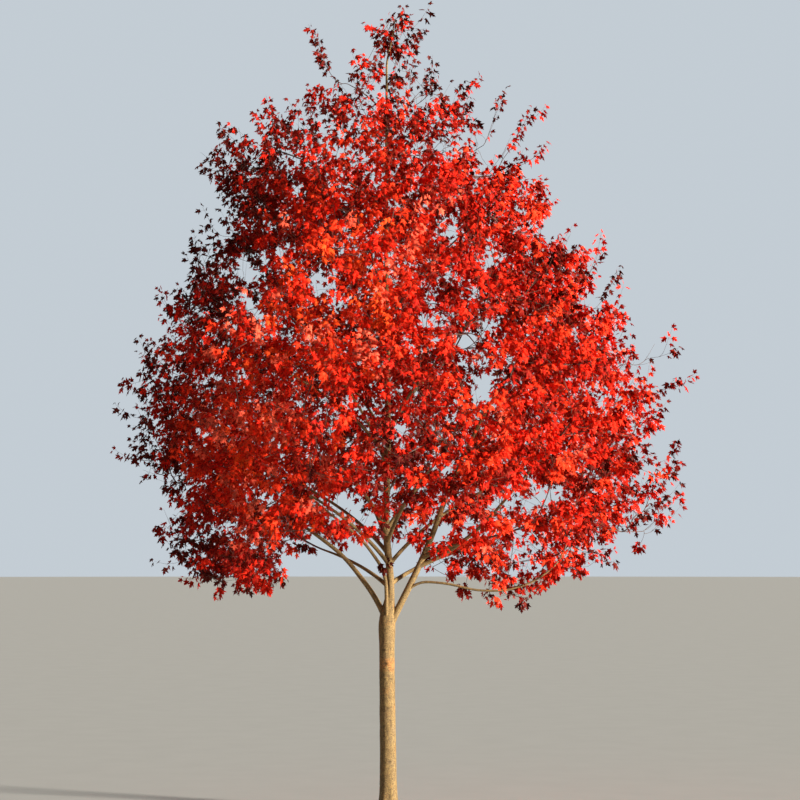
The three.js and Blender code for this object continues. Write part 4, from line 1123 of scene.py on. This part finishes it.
def disc_surface(radii, sides):
    """A level disc: radius (cos a, sin a) for each ring and angle, and the quads between its rings."""
    angle = ring_angles(sides)
    points = np.outer(radii, [np.cos(angle), np.sin(angle), 0 * angle])
    grid = np.arange(len(radii) * sides).reshape(-1, sides)
    after = np.roll(grid, -1, 1)
    quads = np.stack([grid[:-1], grid[1:], after[1:], after[:-1]], -1).reshape(-1, 4)
    return points.reshape(-1, 3, sides).transpose(0, 2, 1), quads


def dress(piece, slot, material, *nodes):
    """Gives a finished piece its material and its body, and hides the nodes that it stands for."""
    piece.data.materials.append(material)
    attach(piece, "root")
    if nodes:
        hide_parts(*nodes)
    return piece


# Materials

def math_method(operation, reflected=False):
    """A method that adds a Math node for a value and another, or for the other and the value."""
    def method(self, other):
        return self.math(operation, *((other, self) if reflected else (self, other)))
    return method


class Field:
    """A shader value that takes part in Python sums: every operator adds its Math node."""

    def __init__(self, shader, socket):
        self.shader = shader
        self.socket = socket

    def math(self, operation, *values, clamp=False):
        """The Math node of an operation on values."""
        settings = {"operation": operation, "use_clamp": clamp}
        return self.shader.node("ShaderNodeMath", settings, dict(enumerate(values)))

    __add__, __radd__ = math_method("ADD"), math_method("ADD", True)
    __sub__, __rsub__ = math_method("SUBTRACT"), math_method("SUBTRACT", True)
    __mul__, __rmul__ = math_method("MULTIPLY"), math_method("MULTIPLY", True)

    def clamped(self):
        """The value held between 0 and 1."""
        return self.math("ADD", self, 0, clamp=True)


class Shader:
    """The nodes of one material, or of the room, under construction."""

    def __init__(self, owner):
        owner.use_nodes = True
        self.owner = owner
        self.tree = owner.node_tree
        self.tree.nodes.clear()

    def node(self, kind, settings=None, inputs=None, output=0):
        """Adds a node, sets its settings, then sets or links its inputs, and gives one output."""
        made = self.tree.nodes.new(kind)
        for key, value in (settings or {}).items():
            setattr(made, key, value)
        for key, value in (inputs or {}).items():
            socket = made.inputs[key]
            if isinstance(value, Field):
                self.tree.links.new(value.socket, socket)
            elif socket.type == "RGBA" and len(value) == 3:
                socket.default_value = (*value, 1)
            else:
                socket.default_value = value
        return Field(self, made.outputs[output]) if len(made.outputs) else None

    def noise(self, where, factors, detail=3, roughness=0.55):
        """Fractal noise, from about 0.3 to 0.7, with factors for its scale along X, Y and Z."""
        where = self.node("ShaderNodeVectorMath", {"operation": "MULTIPLY"}, {0: where, 1: factors})
        return self.node("ShaderNodeTexNoise", {"noise_dimensions": "3D"}, {
            "Vector": where, "Scale": 1, "Detail": detail, "Roughness": roughness})

    def mixed(self, factor, first, second):
        """A colour between two."""
        return self.node("ShaderNodeMix", {"data_type": "RGBA"}, {0: factor, 6: first, 7: second}, 2)

    def ranged(self, value, low, high, to_low=0.0, to_high=1.0):
        """A value's range from low to high, spread and held from to_low to to_high."""
        return self.node("ShaderNodeMapRange", {"clamp": True}, {
            0: value, 1: low, 2: high, 3: to_low, 4: to_high})

    def bump(self, height, strength, distance):
        """A normal from a height."""
        return self.node("ShaderNodeBump", None, {
            "Height": height, "Strength": strength, "Distance": distance})

    def attribute(self, name, output):
        """A value that is kept on the mesh."""
        return self.node("ShaderNodeAttribute", {"attribute_name": name}, output=output)

    def place(self):
        """The place on the object."""
        return self.node("ShaderNodeTexCoord", output="Object")

    def finish(self, inputs, kind="ShaderNodeBsdfPrincipled", end="ShaderNodeOutputMaterial"):
        """The closing shader and the output."""
        self.node(end, None, {"Surface": self.node(kind, None, inputs)})
        return self.owner


def shade(colour, factor, more=0.0):
    """A colour made darker, or brighter up to full, with a little added to each part."""
    return tuple(min(1, factor * c + more) for c in colour)


def blend(first, second, share):
    """A colour between two."""
    return tuple((1 - share) * a + share * b for a, b in zip(first, second))


def bark_material():
    """Smooth tan bark: lengthwise streaks, greyer patches, dark cracks, pores and scars, and a warm stain."""
    colours = bpy.context.scene.maple_colours
    tan, dark = tuple(colours.bark), tuple(colours.bark_shade)
    shader = Shader(bpy.data.materials.new("smooth bark"))
    place = shader.attribute("place", "Vector")
    streaks = shader.noise(place, (38, 38, 20), 5, 0.65)
    patches = shader.noise(place, (9, 9, 6))
    grain = shader.noise(place, (120, 120, 110))
    pores = shader.noise(place, (52, 52, 120), 2)
    height = shader.node("ShaderNodeSeparateXYZ", None, {0: place}, 2)
    off_stain = (height - STAIN_HEIGHT) * (1 / STAIN_SPREAD)
    stain = (1 - off_stain * off_stain).clamped() * shader.ranged(streaks, 0.36, 0.5)
    rust = shader.ranged(patches, 0.3, 0.4, 0.45, 0) + stain
    cracks = (shader.attribute("cracks", "Fac") * 0.8).clamped()
    base = shader.mixed(shader.ranged(streaks, 0.35, 0.68), tan, blend(tan, dark, 0.55))
    base = shader.mixed(shader.ranged(patches, 0.5, 0.72, 0, 0.5), base, tuple(colours.bark_grey))
    base = shader.mixed(rust, base, tuple(colours.bark_rust))
    base = shader.mixed(shader.ranged(grain, 0.5, 0.62, 0, 0.75), base, dark)
    base = shader.mixed(shader.ranged(pores, 0.56, 0.61, 0, 0.95), base, dark)
    return shader.finish({
        "Base Color": shader.mixed(cracks, base, shade(dark, 0.55)),
        "Roughness": shader.ranged(streaks, 0.3, 0.7, 0.72, 0.9),
        "Normal": shader.bump(streaks * 0.6 + grain * 0.4, 0.7, 0.003),
        "Specular IOR Level": 0.3,
    })


def twig_material():
    """Red-brown young twigs with darker streaks and small pale pores."""
    colours = bpy.context.scene.maple_colours
    brown = tuple(colours.twig)
    shader = Shader(bpy.data.materials.new("young twig bark"))
    place = shader.attribute("place", "Vector")
    streaks = shader.noise(place, (220, 220, 26))
    pores = shader.noise(place, (420, 420, 160), 1)
    base = shader.mixed(shader.ranged(streaks, 0.35, 0.7), brown, shade(brown, 0.45))
    return shader.finish({
        "Base Color": shader.mixed(shader.ranged(pores, 0.64, 0.72, 0, 0.4), base, tuple(colours.pores)),
        "Roughness": shader.ranged(streaks, 0.3, 0.7, 0.5, 0.72),
        "Normal": shader.bump(streaks, 0.35, 0.001),
    })


def leaf_material(tint):
    """A leaf blade in one tint: dark mottling that also paints specks of deep shade, brighter areas, and
    paler veins on the midrib and lobes.
    """
    colours = bpy.context.scene.maple_colours
    colour = tuple(getattr(colours, tint))
    shader = Shader(bpy.data.materials.new(f"{tint} leaf"))
    mottle = shader.noise(shader.place(), (20, 20, 20))
    drift = shader.noise(shader.place(), (2.6, 2.6, 2.6), 2)
    veins = shader.ranged(shader.attribute("veins", "Fac"), 0.55, 1, 0, 0.4)
    # Dark blotches, which also paint specks of deep shade between the leaves
    blotch_shade = shader.ranged(mottle, 0.44, 0.6)
    base = shader.mixed(blotch_shade, shade(colour, LEAF_BODY), shade(colour, LEAF_BLOTCH_SHADE))
    base = shader.mixed(shader.ranged(drift, 0.38, 0.62, 0, 0.6), base, shade(colour, *LEAF_BRIGHT))
    return shader.finish({
        "Base Color": shader.mixed(veins, base, blend(colour, colours.veins, 0.25)),
        "Roughness": shader.ranged(mottle, 0.35, 0.65, 0.5, 0.72),
        "Normal": shader.bump(mottle, 0.3, 0.002),
        "Specular IOR Level": 0.03,
    })


# Operators

class MAPLE_OT_trunk(bpy.types.Operator):
    """Replaces the trunk with a mesh that has its taper, flare, cracks and scars"""

    bl_idname = "maple.trunk"
    bl_label = "Trunk"

    def execute(self, context):
        points, place, dark = trunk_surface(tree().fissure_depth)
        faces = tube_faces(1, *points.shape[:2])[:, ::-1]  # its rings run the other way round
        piece = new_piece("trunk_bark", points, faces, place)
        store(piece, "cracks", "FLOAT", "value", dark)
        dress(piece, "bark", bark_material(), "trunk")
        return {"FINISHED"}


class MAPLE_OT_boughs(bpy.types.Operator):
    """Replaces the boughs with one mesh of tapering limbs with collars, cracks and slight lumps"""

    bl_idname = "maple.boughs"
    bl_label = "Boughs"

    def execute(self, context):
        points, place = bough_surface(tree().fissure_depth)
        piece = new_piece("bough_bark", points, tube_faces(*points.shape[:3]), place)
        store(piece, "cracks", "FLOAT", "value", BOUGH_CRACKS * bark_cracks(place))
        dress(piece, "bark", bark_material(), *limbs_and_masses()[0])
        return {"FINISHED"}


class MAPLE_OT_twigs(bpy.types.Operator):
    """Grows the stems, twigs and shoots of every foliage mass"""

    bl_idname = "maple.twigs"
    bl_label = "Twigs"

    def execute(self, context):
        sizes = tree()
        controls, first, last, _, _ = grown_crown(sizes.tries)
        thick, thin = (sizes.tip_radius * load ** TWIG_GROWTH for load in (first, last))
        strong = first >= STRONG_LOAD
        names = [mass[0] for mass in limbs_and_masses()[1]]
        self.grow("twigs", names, self.stems(sizes), self.twigs(controls, thick, thin, strong, TWIG_TUBE))
        shoots = (shoot_points(*leafy_shoots(sizes), np.linspace(0, 1, len(SHOOT_TAPER))),
                  np.minimum(thin, SHOOT_THICKNESS * sizes.tip_radius)[:, None] * SHOOT_TAPER, SHOOT_TUBE[1])
        self.grow("shoots", (), self.twigs(controls, thick, thin, ~strong, SHOOT_TUBE), shoots)
        return {"FINISHED"}

    def stems(self, sizes):
        """The masses' stems as tubes: their radius goes by the sprays that each half carries."""
        masses = limbs_and_masses()[1]
        loads = grown_crown(sizes.tries)[4]
        rings, sides = STEM_TUBE
        share = np.linspace(0, 1, rings)
        start = np.array([mass[3] for mass in masses])[:, None]
        middle, end = (sizes.tip_radius * loads[:, k:k + 1] ** TWIG_GROWTH for k in (0, 1))
        middle = np.minimum(middle, start)
        end = np.minimum(end, middle)
        radius = np.where(share < 0.5, start + (middle - start) * 2 * share,
                          middle + (end - middle) * (2 * share - 1))
        return np.stack([bezier(*mass[2], share) for mass in masses]), radius, sides

    def twigs(self, controls, thick, thin, chosen, tube):
        """Chosen twigs as tubes: full thickness over the first half, easing to that of the second half."""
        rings, sides = tube
        t = np.linspace(0, 1, rings)
        path = bezier(*(controls[chosen, k] for k in range(3)), t[:, None]).transpose(1, 0, 2)
        share = smooth(t, *TWIG_EASE)
        return path, thick[chosen, None] * (1 - share) + thin[chosen, None] * share, sides

    def grow(self, name, nodes, *tubes):
        """Joins sets of tubes, as paths, radii and sides, into one piece."""
        made = [(*tube_points(path, radius, sides), tube_faces(*path.shape[:2], sides))
                for path, radius, sides in tubes]
        first = np.cumsum([0] + [points.size // 3 for points, _, _ in made])
        points, places = (np.concatenate([each[k].reshape(-1, 3) for each in made]) for k in (0, 1))
        faces = np.concatenate([faces + start for (_, _, faces), start in zip(made, first)])
        dress(new_piece(name, points, faces, places), "bark", twig_material(), *nodes)


class MAPLE_OT_leaves(bpy.types.Operator):
    """Hangs the leaves on their shoots, each tint as one piece"""

    bl_idname = "maple.leaves"
    bl_label = "Leaves"

    def execute(self, context):
        start, blade, axis, face, size, spray, count = leaf_frames(tree())
        stalk = start[:, None] + STALK_RADIUS * np.array([[-1], [1]]) * np.cross(face, axis)[:, None]
        points = np.concatenate([leaf_surface(blade, axis, face, size, count), stalk], 1)
        faces, veins = leaf_faces()
        tint = spray_tints(tree())[spray]
        for number, name in enumerate(TINTS):
            some = points[tint == number]
            each = points.shape[1] * np.arange(len(some))[:, None, None]
            piece = new_piece(f"{name}_leaves", some, (faces + each).reshape(-1, 3), None, False)
            store(piece, "veins", "FLOAT", "value", np.tile(veins, len(some)))
            dress(piece, "foliage", leaf_material(name))
        return {"FINISHED"}


class MAPLE_OT_stage(bpy.types.Operator):
    """Lays the pale floor and sets the lights and the camera"""

    bl_idname = "maple.stage"
    bl_label = "Stage"

    RINGS = (0.0, 12, 60, 300)  # radii of the floor's rings
    SIDES = 96
    LAMP_PLACE = (57.9, -27, 16.5)
    LAMP_AIM = (0, 0, 5.2)
    BACK_EDGE = (0.75, 0.93)  # how far back a direction points where the wall behind the tree sets in
    CEILING_EDGE = (0.27, 0.5)  # and how far up where the ceiling does

    def execute(self, context):
        settings = context.scene.maple_stage
        floor = new_piece("pale_floor", *disc_surface(self.RINGS, self.SIDES))
        shader = Shader(bpy.data.materials.new("pale floor"))
        mottle = shader.noise(shader.place(), (1.5, 1.5, 1.5))
        pale = tuple(settings.floor)
        floor.data.materials.append(shader.finish({
            "Base Color": shader.mixed(shader.ranged(mottle, 0.3, 0.7), pale, shade(pale, 0.96)),
            "Roughness": 0.9,
        }))
        self.lamp(settings)
        context.scene.world = self.room(settings)
        context.scene.view_settings.view_transform = "Standard"
        self.camera(context, settings)
        return {"FINISHED"}

    def room(self, settings):
        """The world: a pale wall, brighter behind the tree, that eases into a dimmer ceiling higher up."""
        shader = Shader(bpy.data.worlds.new("room"))
        back, up = (shader.node("ShaderNodeSeparateXYZ", None, {0: shader.node("ShaderNodeTexCoord")}, axis)
                    for axis in (1, 2))
        wall = shader.ranged(back, *self.BACK_EDGE, settings.wall, settings.far_wall)
        strength = wall + shader.ranged(up, *self.CEILING_EDGE) * (settings.ceiling - wall)
        return shader.finish({"Color": tuple(settings.room_tint), "Strength": strength},
                             "ShaderNodeBackground", "ShaderNodeOutputWorld")

    def lamp(self, settings):
        """A far, wide lamp whose light falls alike everywhere."""
        data = bpy.data.lights.new("key", "SUN")
        data.energy = settings.key
        data.angle = settings.softness
        data.color = settings.key_tint
        lamp = bpy.data.objects.new("key", data)
        self.aim(lamp, self.LAMP_PLACE, self.LAMP_AIM)
        bpy.context.scene.collection.objects.link(lamp)

    def aim(self, thing, place, aim):
        """Stands a lamp or camera at a place and turns it to its aim."""
        x, y, z = (a - p for a, p in zip(aim, place))
        thing.location = place
        thing.rotation_euler = (math.atan2(math.hypot(x, y), -z), 0, math.atan2(-x, y))

    def camera(self, context, settings):
        """The photograph's view: level with a first floor, looking a little up."""
        data = bpy.data.cameras.new("view")
        place = (VIEW_MIDDLE[0], -EYE_DISTANCE, EYE_HEIGHT)
        data.sensor_fit = "HORIZONTAL"
        data.angle = 2 * math.atan(settings.frame_height / 2 / math.dist(VIEW_MIDDLE, place))
        camera = bpy.data.objects.new("view", data)
        self.aim(camera, place, VIEW_MIDDLE)
        context.scene.collection.objects.link(camera)
        context.scene.camera = camera


OPERATORS = (MAPLE_OT_trunk, MAPLE_OT_boughs, MAPLE_OT_twigs, MAPLE_OT_leaves, MAPLE_OT_stage)


class MAPLE_PT_tree(bpy.types.Panel):
    """The maple's pieces, in the order they are made"""

    bl_idname = "MAPLE_PT_tree"
    bl_label = "Maple"
    bl_space_type = "VIEW_3D"
    bl_region_type = "UI"
    bl_category = "Maple"

    def draw(self, context):
        for operator in OPERATORS:
            self.layout.operator(operator.bl_idname)
        for group in (context.scene.maple_sizes, context.scene.maple_colours, context.scene.maple_stage):
            box = self.layout.box()
            for name in group.__annotations__:
                box.prop(group, name)


GROUPS = {"maple_sizes": MapleSizes, "maple_colours": MapleColours, "maple_stage": MapleStage}
CLASSES = (*GROUPS.values(), *OPERATORS, MAPLE_PT_tree)


def register():
    for each in CLASSES:
        bpy.utils.register_class(each)
    for name, group in GROUPS.items():
        setattr(bpy.types.Scene, name, bpy.props.PointerProperty(type=group))


def unregister():
    for name in GROUPS:
        delattr(bpy.types.Scene, name)
    for each in reversed(CLASSES):
        bpy.utils.unregister_class(each)


def main():
    register()
    bpy.ops.maple.trunk()
    bpy.ops.maple.boughs()
    bpy.ops.maple.twigs()
    bpy.ops.maple.leaves()
    bpy.ops.maple.stage()


if __name__ == "__main__":
    main()
